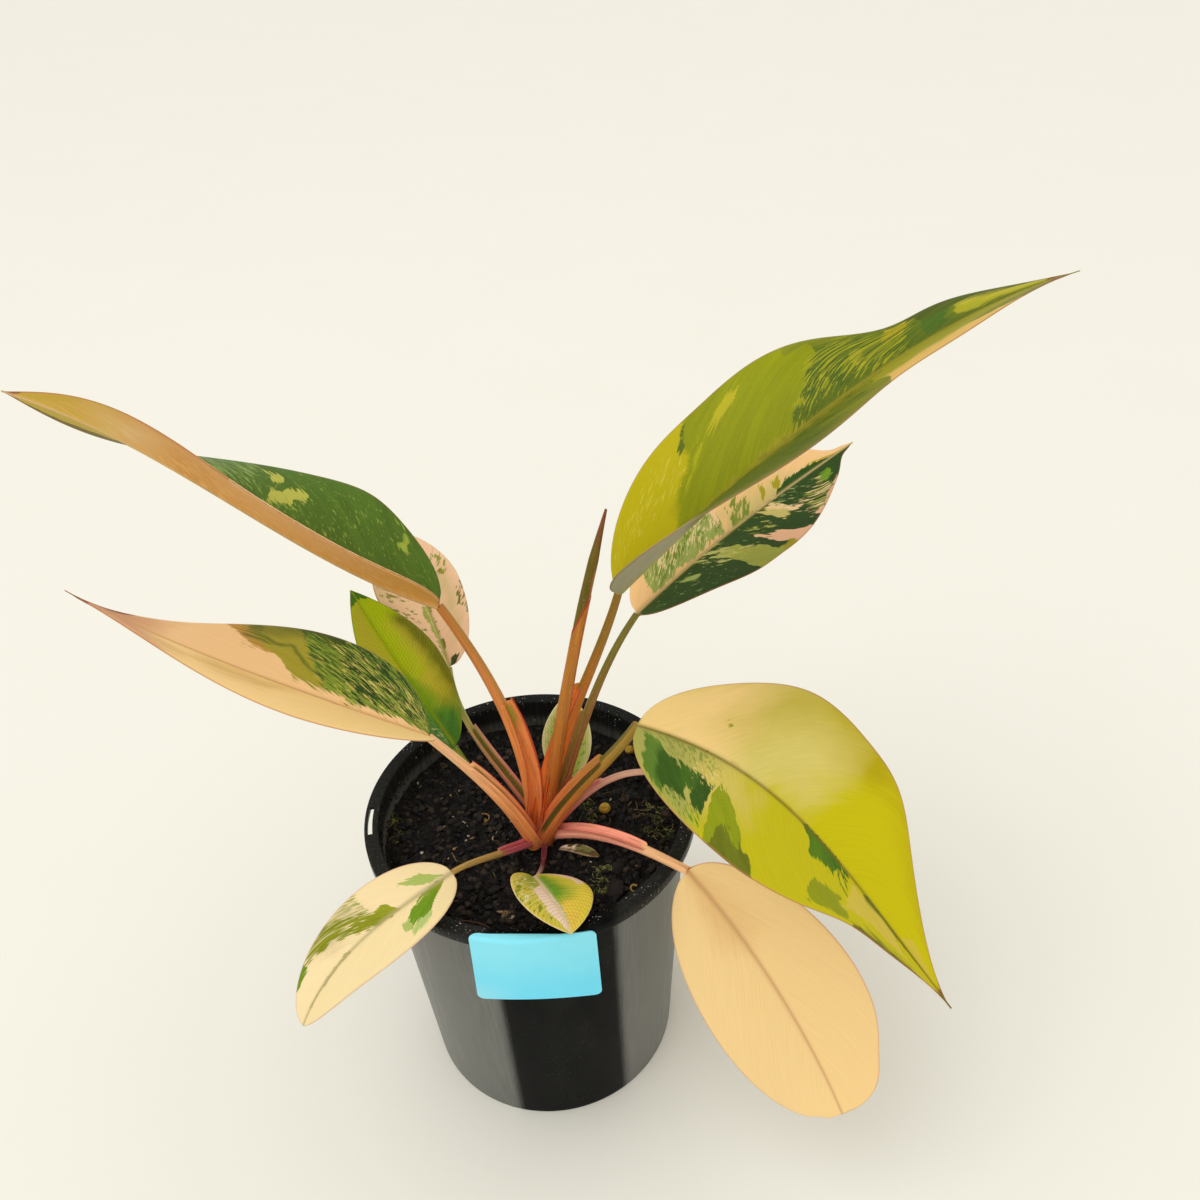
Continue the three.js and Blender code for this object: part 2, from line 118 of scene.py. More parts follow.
def piece_of(name, points, faces, finish, slot, node=None, sharp=38):
    """Builds a piece from millimetre points and sets it on the body and the solid it stands for."""
    mesh = bpy.data.meshes.new(name)
    mesh.from_pydata((np.asarray(points) * MM).tolist(), [], faces)
    mesh.polygons.foreach_set("use_smooth", [True] * len(mesh.polygons))
    mesh.set_sharp_from_angle(angle=math.radians(sharp))
    mesh.materials.append(finish)
    piece = bpy.data.objects.new(name, mesh)
    bpy.context.collection.objects.link(piece)
    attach(piece, "root")
    if node:
        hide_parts(node)
    return piece


def cut_away(piece, cutters):
    """Cuts closed shapes out of a piece."""
    for points, faces in cutters:
        mesh = bpy.data.meshes.new("cutter")
        mesh.from_pydata((np.asarray(points) * MM).tolist(), [], faces)
        cutter = bpy.data.objects.new("cutter", mesh)
        bpy.context.collection.objects.link(cutter)
        cut = piece.modifiers.new("cut", "BOOLEAN")
        cut.operation = "DIFFERENCE"
        cut.object = cutter
    bpy.context.view_layer.update()
    ready = piece.evaluated_get(bpy.context.evaluated_depsgraph_get())
    piece.data = bpy.data.meshes.new_from_object(ready)
    for cut in list(piece.modifiers):
        cutter = cut.object
        piece.modifiers.remove(cut)
        bpy.data.objects.remove(cutter)


def new_finish(name):
    """A material, its node tree and its surface shader."""
    finish = bpy.data.materials.new(name)
    finish.use_nodes = True
    return finish, finish.node_tree, finish.node_tree.nodes["Principled BSDF"]


def fill(tree, shader, sockets):
    """Gives a shader node's sockets plain values or other nodes' outputs."""
    for key, value in sockets.items():
        if isinstance(value, bpy.types.NodeSocket):
            tree.links.new(value, shader.inputs[key])
        else:
            shader.inputs[key].default_value = value


def lay(tree, kind, sockets=(), **settings):
    """Adds a shader node and fills its sockets."""
    fresh = tree.nodes.new("ShaderNode" + kind)
    for key, value in settings.items():
        setattr(fresh, key, value)
    fill(tree, fresh, dict(sockets))
    return fresh


def sum_of(tree, kind, first, second=0.0, clamp=False):
    """One step of arithmetic on one number or two."""
    return lay(tree, "Math", {0: first, 1: second}, operation=kind, use_clamp=clamp).outputs[0]


def blend_of(tree, share, first, second, kind="MIX"):
    """Mixes two colours by a share."""
    sockets = {0: share, 6: first, 7: second}
    return lay(tree, "Mix", sockets, data_type="RGBA", blend_type=kind).outputs[2]


def ramp_of(tree, value, low, high, start=0.0, stop=1.0):
    """Turns the range low to high into start to stop, smoothly."""
    sockets = {0: value, 1: low, 2: high, 3: start, 4: stop}
    return lay(tree, "MapRange", sockets, interpolation_type="SMOOTHSTEP").outputs[0]


def grain_of(tree, scale, detail=3.0, stretch=(1, 1, 1), source=None, rough=0.5):
    """Noise of so many lumps per millimetre over the piece, or over another set of coordinates."""
    if source is None:
        source = lay(tree, "TexCoord").outputs["Object"]
        stretch = tuple(s / MM for s in stretch)
    moved = lay(tree, "Mapping", {"Vector": source, "Scale": stretch}).outputs[0]
    sockets = {"Vector": moved, "Scale": scale, "Detail": detail, "Roughness": rough}
    return lay(tree, "TexNoise", sockets).outputs[0]


def press_in(tree, surface, height, depth):
    """Gives a surface relief, depth in millimetres."""
    relief = lay(tree, "Bump", {"Height": height, "Distance": depth * MM, "Strength": 1.0})
    fill(tree, surface, {"Normal": relief.outputs[0]})


def black_plastic():
    """Polished black plastic with a grey reflection painted down both flanks and a little less at
    the back, a faint random haze, faint lines of the draw up the wall and dust on the rim."""
    finish, tree, surface = new_finish("black pot plastic")
    place = lay(tree, "TexCoord").outputs["Object"]
    parted = lay(tree, "SeparateXYZ", {0: place})
    height = parted.outputs[2]
    streaks = grain_of(tree, 0.9, 4.0, (1, 1, 0.02))
    clouds = grain_of(tree, 0.05, 4.0, (1, 1, 0.4))
    specks = ramp_of(tree, grain_of(tree, 1.6, 1.0), 0.7, 0.74)
    patches = ramp_of(tree, grain_of(tree, 0.07, 2.0), 0.45, 0.62)
    on_rim = ramp_of(tree, height, 0.104, 0.109, 0.06, 0.9)
    dusty = sum_of(tree, "MULTIPLY", sum_of(tree, "MULTIPLY", specks, on_rim), patches)
    # Painted reflection: the flanks, and less of the back, are blended to grey and streaked up the wall,
    # while the rim gets little and the strip at the front stays black
    across = sum_of(tree, "ABSOLUTE", sum_of(tree, "ADD", parted.outputs[0], -FRONT_MIDDLE))
    beside = sum_of(tree, "MAXIMUM", ramp_of(tree, across, *FRONT_HALF), ramp_of(
        tree, parted.outputs[1], -0.03, 0.02))
    painted_sheen_reach = sum_of(tree, "MULTIPLY", beside, ramp_of(tree, parted.outputs[1], 0, 0.04, 1, 0.6))
    flank = sum_of(tree, "MULTIPLY", painted_sheen_reach, ramp_of(tree, height, 0.102, 0.107, 1, 0.14))
    painted_sheen_streaked = sum_of(tree, "MULTIPLY", flank, ramp_of(tree, streaks, 0.3, 0.7, 0.5, 0.8))
    haze_and_painted_sheen = sum_of(tree, "MAXIMUM", ramp_of(tree, clouds, 0.45, 0.8, 0, 0.04), painted_sheen_streaked)
    body = blend_of(tree, streaks, paint("#050505"), paint("#0a0b0b"))
    with_haze_and_painted_sheen = blend_of(tree, haze_and_painted_sheen, body, paint("#797a74"))
    dusted = blend_of(tree, dusty, with_haze_and_painted_sheen, paint("#c9c7c0"))
    dull = sum_of(tree, "ADD", ramp_of(tree, streaks, 0.3, 0.7, 0.17, 0.27), sum_of(
        tree, "MULTIPLY", haze_and_painted_sheen, 0.3))
    shine = ramp_of(tree, flank, 0, 1, 0.03, 0.4)
    fill(tree, surface, {"Base Color": dusted, "Roughness": dull, "Specular IOR Level": shine})
    press_in(tree, surface, streaks, 0.035)
    return finish


pot_under = POT_HEIGHT - LIP_THICKNESS
pot_outline = [
    *corner(FOOT_RADIUS - FOOT_EDGE, FOOT_EDGE, FOOT_EDGE, -90, 0),
    *[(wall_radius(z), z) for z in np.linspace(2, pot_under - 0.5, 12)],
    (wall_radius(pot_under) + 0.1, pot_under),
    (RIM_RADIUS - LIP_THICKNESS, pot_under),
    *corner(RIM_RADIUS - LIP_EDGE, POT_HEIGHT - LIP_HEIGHT + LIP_EDGE, LIP_EDGE, -110, 0),
    *corner(RIM_RADIUS - RIM_EDGE, POT_HEIGHT - RIM_EDGE, RIM_EDGE, 0, 90),
    *corner(TOP_RADIUS - POT_WALL + RIM_EDGE, POT_HEIGHT - RIM_EDGE, RIM_EDGE, 90, 180),
    *[(wall_radius(z) - POT_WALL, z) for z in np.linspace(POT_HEIGHT - 2, POT_BASE + 1, 8)],
    (wall_radius(POT_BASE) - POT_WALL - 0.6, POT_BASE),
]
pot = piece_of("pot_shell", *skin(turned(pot_outline, POT_SIDES)), black_plastic(), "pot_black", "pot")

pot_cutters = []
for number in range(DRAIN_HOLES):
    turn = 2 * math.pi * number / DRAIN_HOLES
    drill = turned([(DRAIN_RADIUS, -POT_BASE), (DRAIN_RADIUS, POT_BASE * 2)], 40)
    drill += (DRAIN_CIRCLE * math.cos(turn), DRAIN_CIRCLE * math.sin(turn), 0)
    pot_cutters.append(skin(drill))
for place in SLOT_PLACES:
    turns = np.radians(np.linspace(place - SLOT_ARC / 2, place + SLOT_ARC / 2, 13))
    loop = [(SLOT_RADII[1], t) for t in turns] + [(SLOT_RADII[0], t) for t in reversed(turns)]
    heights = (POT_HEIGHT - LIP_HEIGHT / 2, POT_HEIGHT + 1)
    slot_rings = [[(r * math.cos(t), r * math.sin(t), z) for r, t in loop] for z in heights]
    pot_cutters.append(skin(np.array(slot_rings)))
cut_away(pot, pot_cutters)

# Soil
# A dark, moist potting mix of peat and bark fines, filled to 11 mm below the rim and settled there.
# Loose crumbs, bark chips, fibres, white grit, two fertiliser prills and a little moss lie on top.

SOIL_TOP = 101
SOIL_GAP = 0.3
SOIL_RINGS = 130
SOIL_SIDES = 300
STEM_PLACE = (4, -5)
MOUND = (0.6, 16)  # rise of the soil round the stem, and how far it reaches
CRUMBS = 6400
STUCK_CRUMBS = 90
STUCK_TURN = (165, 42)  # where most crumbs stick to the wall and how far they spread, in degrees
STUCK_RISE = (0.5, 8)  # heights above the soil between which they stick
GRIT = 44
CHIPS = 46
THREADS = 150
THREAD_REACH = 46
HAIR_RADIUS = 0.08
MOSS_BITS = 30  # in each mossy spot
MOSS_HAIRS = 16

# Each bit is x, y, size and tint. Each mossy spot is x, y and how far it spreads.
SOIL_BITS = [
    (-26.1, 17.9, 0.75, "#e9e2d2"), (-41.1, 22.9, 0.7, "#dfe0d4"), (-37, -8.7, 0.75, "#e6d9c2"),
    (-21.9, -2.6, 0.6, "#efe2c6"), (-22.4, -4.9, 0.7, "#dcc7a2"), (-20.3, -4.4, 0.8, "#8f7a5c"),
    (-26.1, -8.3, 0.7, "#c29a6c"), (-29.2, 16.3, 0.5, "#b89a5c"), (-16.4, 12.7, 1.5, "#5c4038"),
    (-16.2, 3.4, 1.1, "#8c7440"), (-7.9, -36.4, 1.9, "#8a6d4c"), (-6.1, -37.6, 1.2, "#b7a58c"),
    (-9.6, -35.8, 1.1, "#a58a66"), (14.6, -41.8, 0.8, "#c9bda2"), (28.6, -20.5, 3.4, "#1d1512"),
    (26.1, -29.3, 3.6, "#221814"), (31.4, -12.6, 2.2, "#19130f"), (-33, 4, 2.4, "#1a1411"),
    (-12, -27, 2.6, "#1c1613"), (-3, 27, 2.4, "#1b1512"), (22, 20, 2.2, "#1a1411"),
]
MOSS = [(18.9, 8.1, 1.1), (19.8, 3.9, 1.2), (20, 0.2, 1), (40.1, 4.9, 1.6), (44, 2.8, 1.6),
        (41.3, -1.5, 1.7), (45.2, -7.2, 1.5), (39.9, -6.3, 1.4), (22, -21.5, 1), (24.6, -20.8, 0.9),
        (22.8, -25.6, 1), (21.4, -28.7, 0.9), (-47.4, 6, 0.6), (-44.8, -1.1, 0.7), (13, 40, 1.3),
        (8, 42, 1)]
# Each fibre is its points on the soil, its radius and its tint
FIBRES = [
    ([(33.1, 4.1), (35.5, 4.4), (37.8, 3.2), (40.2, 3.3)], 0.12, "#c9b084"),
    ([(35.4, 7.3), (35.3, 5), (36.1, 3.5), (36.6, 1.1)], 0.12, "#9a6a48"),
    ([(14.9, -2), (15.8, 0), (16.4, 2), (17.5, 3.9)], 0.16, "#5f7030"),
    ([(-34, 12.7), (-33, 14), (-32.4, 13.6), (-31.5, 14.7)], 0.2, "#a58e68"),
    ([(-12.9, -19), (-11, -22), (-12.6, -25), (-12, -28.3)], 0.16, "#6f7a44"),
    ([(-13.3, -6), (-14, -4.6), (-12.6, -4), (-12.1, -2.6)], 0.24, "#d6c08c"),
    ([(-43.4, 37), (-42, 36), (-40, 37), (-38.2, 36.1)], 0.2, "#8f7f4c"),
    ([(-41, 34), (-40.4, 36), (-39.6, 37.4), (-38.4, 38.6)], 0.16, "#b09a64"),
    ([(-23.6, -37.3), (-19.7, -38.9), (-15.9, -38.6), (-12.4, -41.6)], 0.32, "#6e4a3a"),
    ([(-23.9, 2.9), (-23, 2), (-22.8, 1), (-22, 0)], 0.2, "#d8c39a"),
    ([(-26.6, -11.4), (-25.6, -12.4), (-25.6, -13.6), (-24.7, -14.9)], 0.14, "#b7a070"),
    ([(24, 12), (26, 14), (29, 12), (31, 14)], 0.12, "#77743c"),
    ([(33.4, -28.6), (30.6, -27), (30.8, -32.4), (34, -31)], 0.42, "#c49a4c"),
    ([(-17.6, 5.2), (-14.6, 6.4), (-14, 2.6), (-16.6, 2.2)], 0.26, "#b98f4e"),
]
PRILLS = [(24.6, 4.2, 2), (34.6, 31.8, 1.7)]  # x, y and radius


def soil_radius(height):
    """Radius of the soil at a height, a little inside the wall."""
    return wall_radius(height) - POT_WALL - SOIL_GAP


def soil_height(x, y):
    """The settled surface: low swells, a slight mound at the stem, and crumb-sized relief."""
    swell = math.sin(x * 0.31 + 1) * math.cos(y * 0.27) + 0.6 * math.sin(x * 0.17 - y * 0.45)
    reach = math.hypot(x - STEM_PLACE[0], y - STEM_PLACE[1]) / MOUND[1]
    lumps = noise.fractal(Vector((x, y, 3)) * 0.3, 0.75, 2.1, 6)
    edge = min(1, (soil_radius(SOIL_TOP) - math.hypot(x, y)) / 3)
    return SOIL_TOP + 0.3 * swell + MOUND[0] * math.exp(-reach * reach) + (0.5 + 0.8 * edge) * lumps


def potting_mix():
    """Dark, moist soil. Its lumps shine a little, and a few flecks are pale."""
    finish, tree, surface = new_finish("potting mix")
    lumps = grain_of(tree, 0.45, 7.0, rough=0.75)
    fine = grain_of(tree, 2.4, 3.0)
    dark = blend_of(tree, ramp_of(tree, lumps, 0.38, 0.66), paint("#080707"), paint("#201b17"))
    flecked = blend_of(tree, ramp_of(tree, fine, 0.7, 0.76), dark, paint("#5c4c38"))
    dull = ramp_of(tree, lumps, 0.35, 0.65, 0.8, 0.45)
    fill(tree, surface, {"Base Color": flecked, "Roughness": dull, "Specular IOR Level": 0.25})
    press_in(tree, surface, lumps, 1.6)
    return finish


def colour_points(piece, name, values):
    """Stores a colour for each point of a piece."""
    values = np.asarray(values, float)
    if values.shape[1] == 3:
        values = np.column_stack([values, np.ones(len(values))])
    layer = piece.data.attributes.new(name, "FLOAT_COLOR", "POINT")
    layer.data.foreach_set("color", values.ravel())


def crumb_finish():
    """Loose bits, each in its own tint, with darker mottling."""
    finish, tree, surface = new_finish("crumbs and chips")
    tint = lay(tree, "Attribute", attribute_name="tint").outputs["Color"]
    mottle = grain_of(tree, 1.6, 4.0, rough=0.65)
    toned = blend_of(tree, ramp_of(tree, mottle, 0.35, 0.7, 0, 0.55), tint, paint("#4a3b2c"), "MULTIPLY")
    dull = ramp_of(tree, mottle, 0.35, 0.65, 0.75, 0.42)
    fill(tree, surface, {"Base Color": toned, "Roughness": dull, "Specular IOR Level": 0.28})
    press_in(tree, surface, mottle, 0.4)
    return finish


soil_turns = np.linspace(0, 2 * math.pi, SOIL_SIDES, endpoint=False)
soil_foot = POT_BASE + SOIL_GAP
foot_reach = soil_radius(soil_foot)
soil_rings = [[(foot_reach * math.cos(t), foot_reach * math.sin(t), soil_foot) for t in soil_turns]]
for share in np.linspace(1, 0.004, SOIL_RINGS):
    radius = soil_radius(SOIL_TOP) * share
    ring = []
    for turn in soil_turns:
        x, y = radius * math.cos(turn), radius * math.sin(turn)
        ring.append((x, y, soil_height(x, y)))
    soil_rings.append(ring)
piece_of("soil_bed", *skin(np.array(soil_rings)), potting_mix(), "soil", "soil", sharp=80)

# A lump is a twelve-cornered stone pushed out of shape
GOLDEN = (1 + math.sqrt(5)) / 2
signs = [(a, b * GOLDEN) for a in (-1, 1) for b in (-1, 1)]
STONE = np.array(
    [(0, a, b) for a, b in signs] + [(a, b, 0) for a, b in signs] + [(b, 0, a) for a, b in signs])
STONE /= np.linalg.norm(STONE[0])


def stone_faces():
    """The twenty triangles between neighbouring corners of a stone."""
    near = 1.2
    faces = []
    for a in range(12):
        for b in range(a + 1, 12):
            for c in range(b + 1, 12):
                trio = STONE[[a, b, c]]
                sides = [np.linalg.norm(trio[i] - trio[i - 1]) for i in range(3)]
                if max(sides) < near:
                    outward = np.dot(np.cross(trio[1] - trio[0], trio[2] - trio[0]), trio[0])
                    faces.append((a, b, c) if outward > 0 else (a, c, b))
    return faces


chance = random.Random(7)
STONE_FACES = stone_faces()
CRUMB_TINTS = ("#191512", "#231d19", "#0d0c0b", "#33291f", "#1b1714", "#110f0d", "#0a0908", "#45382b")
CHIP_TINTS = ("#4f3d2c", "#6b543c", "#3f3023", "#8a7050")
GRIT_TINTS = ("#d9d5ca", "#b8ab94", "#a39478")
MOSS_TINTS = ("#66742e", "#8a9046", "#a9a462", "#4c5a2a", "#c4bb80")
THREAD_TINTS = ("#2a211a", "#3c2f22", "#5c4a34", "#8a7350", "#1c1612", "#6f7034")

crumb_points, crumb_faces, crumb_tints = [], [], []


def add_part(points, faces, tint):
    """Adds a closed part to the loose things on the soil."""
    first = len(crumb_points)
    crumb_points.extend(np.asarray(points).tolist())
    crumb_faces.extend([tuple(number + first for number in face) for face in faces])
    crumb_tints.extend([shade(tint)] * len(points))


def drop(x, y, size, tint, flat=0.6, height=None, slim=1.0):
    """Lays one lump of soil at a place on the surface, or at a height."""
    stretch = np.array([size * chance.uniform(0.8, 1.4), size * chance.uniform(0.6, 1) * slim, size * flat])
    lump = STONE * stretch * np.array([[chance.uniform(0.7, 1.2)] for _ in range(12)])
    turn = Matrix.Rotation(chance.uniform(0, 6.3), 3, "Z")
    tilt = turn @ Matrix.Rotation(chance.uniform(-0.7, 0.7), 3, "X")
    if height is None:
        height = soil_height(x, y) + size * flat * 0.3
    lump = lump @ np.array(tilt).T + (x, y, height)
    add_part(lump, STONE_FACES, tint)


def strew(count, sizes, tints, flat=0.6, slim=1.0, lean=3):
    """Scatters lumps evenly over the soil. Small ones are the commonest."""
    for number in range(count):
        size = sizes[0] + (sizes[1] - sizes[0]) * chance.random() ** lean
        turn = chance.uniform(0, 2 * math.pi)
        reach = (soil_radius(SOIL_TOP) - size * 1.4) * math.sqrt(chance.random())
        drop(reach * math.cos(turn), reach * math.sin(turn), size, chance.choice(tints), flat, None, slim)


def curve_frame(route, t):
    """Places along a curve of four control points, with its direction, level side and upper side."""
    p = np.array(route, float)
    t = np.atleast_1d(t)[:, None]
    at = (1 - t) ** 3 * p[0] + 3 * (1 - t) ** 2 * t * p[1] + 3 * (1 - t) * t ** 2 * p[2] + t ** 3 * p[3]
    along = (1 - t) ** 2 * (p[1] - p[0]) + 2 * (1 - t) * t * (p[2] - p[1]) + t ** 2 * (p[3] - p[2])
    along /= np.linalg.norm(along, axis=1, keepdims=True)
    side = np.cross(along, (0, 0, 1))
    side /= np.linalg.norm(side, axis=1, keepdims=True)
    return at, along, side, np.cross(side, along)


def swept(route, t, angles, reach):
    """Rings swept along a curve. Angle 0 faces up, and reach gives the radius at each angle."""
    at, along, side, up = curve_frame(route, t)
    radius = reach(t[:, None], angles[None, :])[:, :, None]
    sine, cosine = np.sin(angles)[None, :, None], np.cos(angles)[None, :, None]
    return at[:, None] + radius * (up[:, None] * cosine + side[:, None] * sine)


strew(CRUMBS, (0.2, 1.7), CRUMB_TINTS, 0.6, 1.0, 4)
strew(CHIPS, (0.6, 1.7), CHIP_TINTS, 0.3, 0.5)
strew(GRIT, (0.18, 0.6), GRIT_TINTS)
for number in range(STUCK_CRUMBS):
    turn = math.radians(chance.gauss(*STUCK_TURN))
    height = SOIL_TOP + STUCK_RISE[0] + (STUCK_RISE[1] - STUCK_RISE[0]) * chance.random() ** 2
    size = chance.uniform(0.25, 0.7)
    reach = wall_radius(height) - POT_WALL - size * 0.5
    tint = chance.choice(CRUMB_TINTS + CHIP_TINTS)
    drop(reach * math.cos(turn), reach * math.sin(turn), size, tint, 0.6, height)
for x, y, size, tint in SOIL_BITS:
    drop(x, y, size, tint, 0.5)
for x, y, spread in MOSS:
    for number in range(MOSS_BITS):
        drop(x + chance.gauss(0, spread), y + chance.gauss(0, spread), chance.uniform(0.16, 0.5),
             chance.choice(MOSS_TINTS), 0.7, None, 0.4)
round_about = np.linspace(0, 2 * math.pi, 8, endpoint=False)
for route, thick, tint in FIBRES:
    laid = [(x, y, soil_height(x, y) + thick + 0.35) for x, y in route]
    fibre = swept(laid, np.linspace(0, 1, 26), round_about,
                  lambda t, angle: thick * (1 - 0.5 * t) * (1 + 0.15 * np.sin(9 * t + angle)))
    add_part(*skin(fibre), tint)


def lay_hair(x, y, length, tint):
    """A thin bent hair that starts at a place on the soil."""
    way, bow = chance.uniform(0, 6.3), chance.uniform(-0.6, 0.6)
    laid = []
    for step in range(4):
        on_x = x + length * step / 3 * math.cos(way + bow * step)
        on_y = y + length * step / 3 * math.sin(way + bow * step)
        laid.append((on_x, on_y, soil_height(on_x, on_y) + chance.uniform(0.2, 0.8)))
    hair = swept(laid, np.linspace(0, 1, 8), round_about[::2], lambda t, angle: HAIR_RADIUS + 0 * t * angle)
    add_part(*skin(hair), tint)


for number in range(THREADS):
    turn = chance.uniform(0, 6.3)
    reach = THREAD_REACH * math.sqrt(chance.random())
    lay_hair(reach * math.cos(turn), reach * math.sin(turn), chance.uniform(0.8, 3),
             chance.choice(THREAD_TINTS))
for x, y, spread in MOSS:
    for number in range(MOSS_HAIRS):
        lay_hair(x + chance.gauss(0, spread), y + chance.gauss(0, spread), chance.uniform(1.2, 3.2),
                 chance.choice(MOSS_TINTS))
for x, y, size in PRILLS:
    # A round bead with a dent where its coat has opened
    half_turn = np.linspace(0.12, math.pi - 0.12, 22)
    bead = turned([(size * math.sin(a), -size * math.cos(a)) for a in half_turn], 32)
    dent = np.exp(-((bead - np.array((-0.2, -0.7, 0.68)) * size) ** 2).sum(2) / (0.22 * size) ** 2)
    bead = bead * (1 - 0.3 * dent[..., None]) * (1, 0.94, 0.92)
    add_part(*skin(bead + (x, y, soil_height(x, y) + size * 0.75)), "#d9ac3c")
crumbs = piece_of("soil_crumbs", crumb_points, crumb_faces, crumb_finish(), "soil", sharp=50)
colour_points(crumbs, "tint", crumb_tints)

# Stem
# The short stem stands in the soil and is hidden by the petioles that clasp it. It is woody and
# ringed by old leaf scars, and five fleshy roots run down from it into the mix.

STEM_PROFILE = [(2.2, 70), (3.6, 80), (4.6, 92), (5, 100), (4.8, 104.5), (3, 107.5)]
ROOT_RADIUS = (1.6, 0.9)
ROOT_TURNS = (20, 92, 164, 236, 308)
ROOT_TOP = 92
ROOT_STEP = 2
ROOT_REACH = 24
ROOT_DEPTH = 34


def stem_bark():
    """Reddish brown bark, ringed by leaf scars."""
    finish, tree, surface = new_finish("stem bark")
    rings = grain_of(tree, 0.5, 4.0, (0.3, 0.3, 2))
    body = blend_of(tree, ramp_of(tree, rings, 0.35, 0.65), paint("#5a2f20"), paint("#95603c"))
    fill(tree, surface, {"Base Color": body, "Roughness": 0.65})
    press_in(tree, surface, rings, 0.5)
    return finish


stem_heights = np.linspace(STEM_PROFILE[0][1], STEM_PROFILE[-1][1], 60)
stem_radii = np.interp(stem_heights, [z for _, z in STEM_PROFILE], [r for r, _ in STEM_PROFILE])
stem_radii -= 0.15 * (1 + np.sin(stem_heights * 1.6))
stem_points, stem_faces = skin(turned(list(zip(stem_radii, stem_heights)), 48))
stem_points = (stem_points + (*STEM_PLACE, 0)).tolist()
for number, turn in enumerate(np.radians(ROOT_TURNS)):
    root_top = ROOT_TOP - ROOT_STEP * number
    root_route = [
        (STEM_PLACE[0] + math.cos(turn) * ROOT_REACH * out,
         STEM_PLACE[1] + math.sin(turn) * ROOT_REACH * out,
         root_top - ROOT_DEPTH * down)
        for out, down in ((0, 0), (0.6, 0), (1, 0.5), (1.1, 1))
    ]
    root_rings = swept(root_route, np.linspace(0, 1, 24), np.linspace(0, 2 * math.pi, 14, endpoint=False),
                       lambda t, angle: ROOT_RADIUS[0] + (ROOT_RADIUS[1] - ROOT_RADIUS[0]) * t + 0 * angle)
    root_points, root_faces = skin(root_rings)
    first = len(stem_points)
    stem_points.extend(root_points.tolist())
    stem_faces.extend([tuple(corner_number + first for corner_number in face) for face in root_faces])
piece_of("stem_and_roots", stem_points, stem_faces, stem_bark(), "stem", "stem")

# Petioles
# Each leaf stands on a fleshy stalk, round below and grooved on top. Its lower part spreads into
# two thin sheath wings, edged in red, that clasp the stem and end in a point.

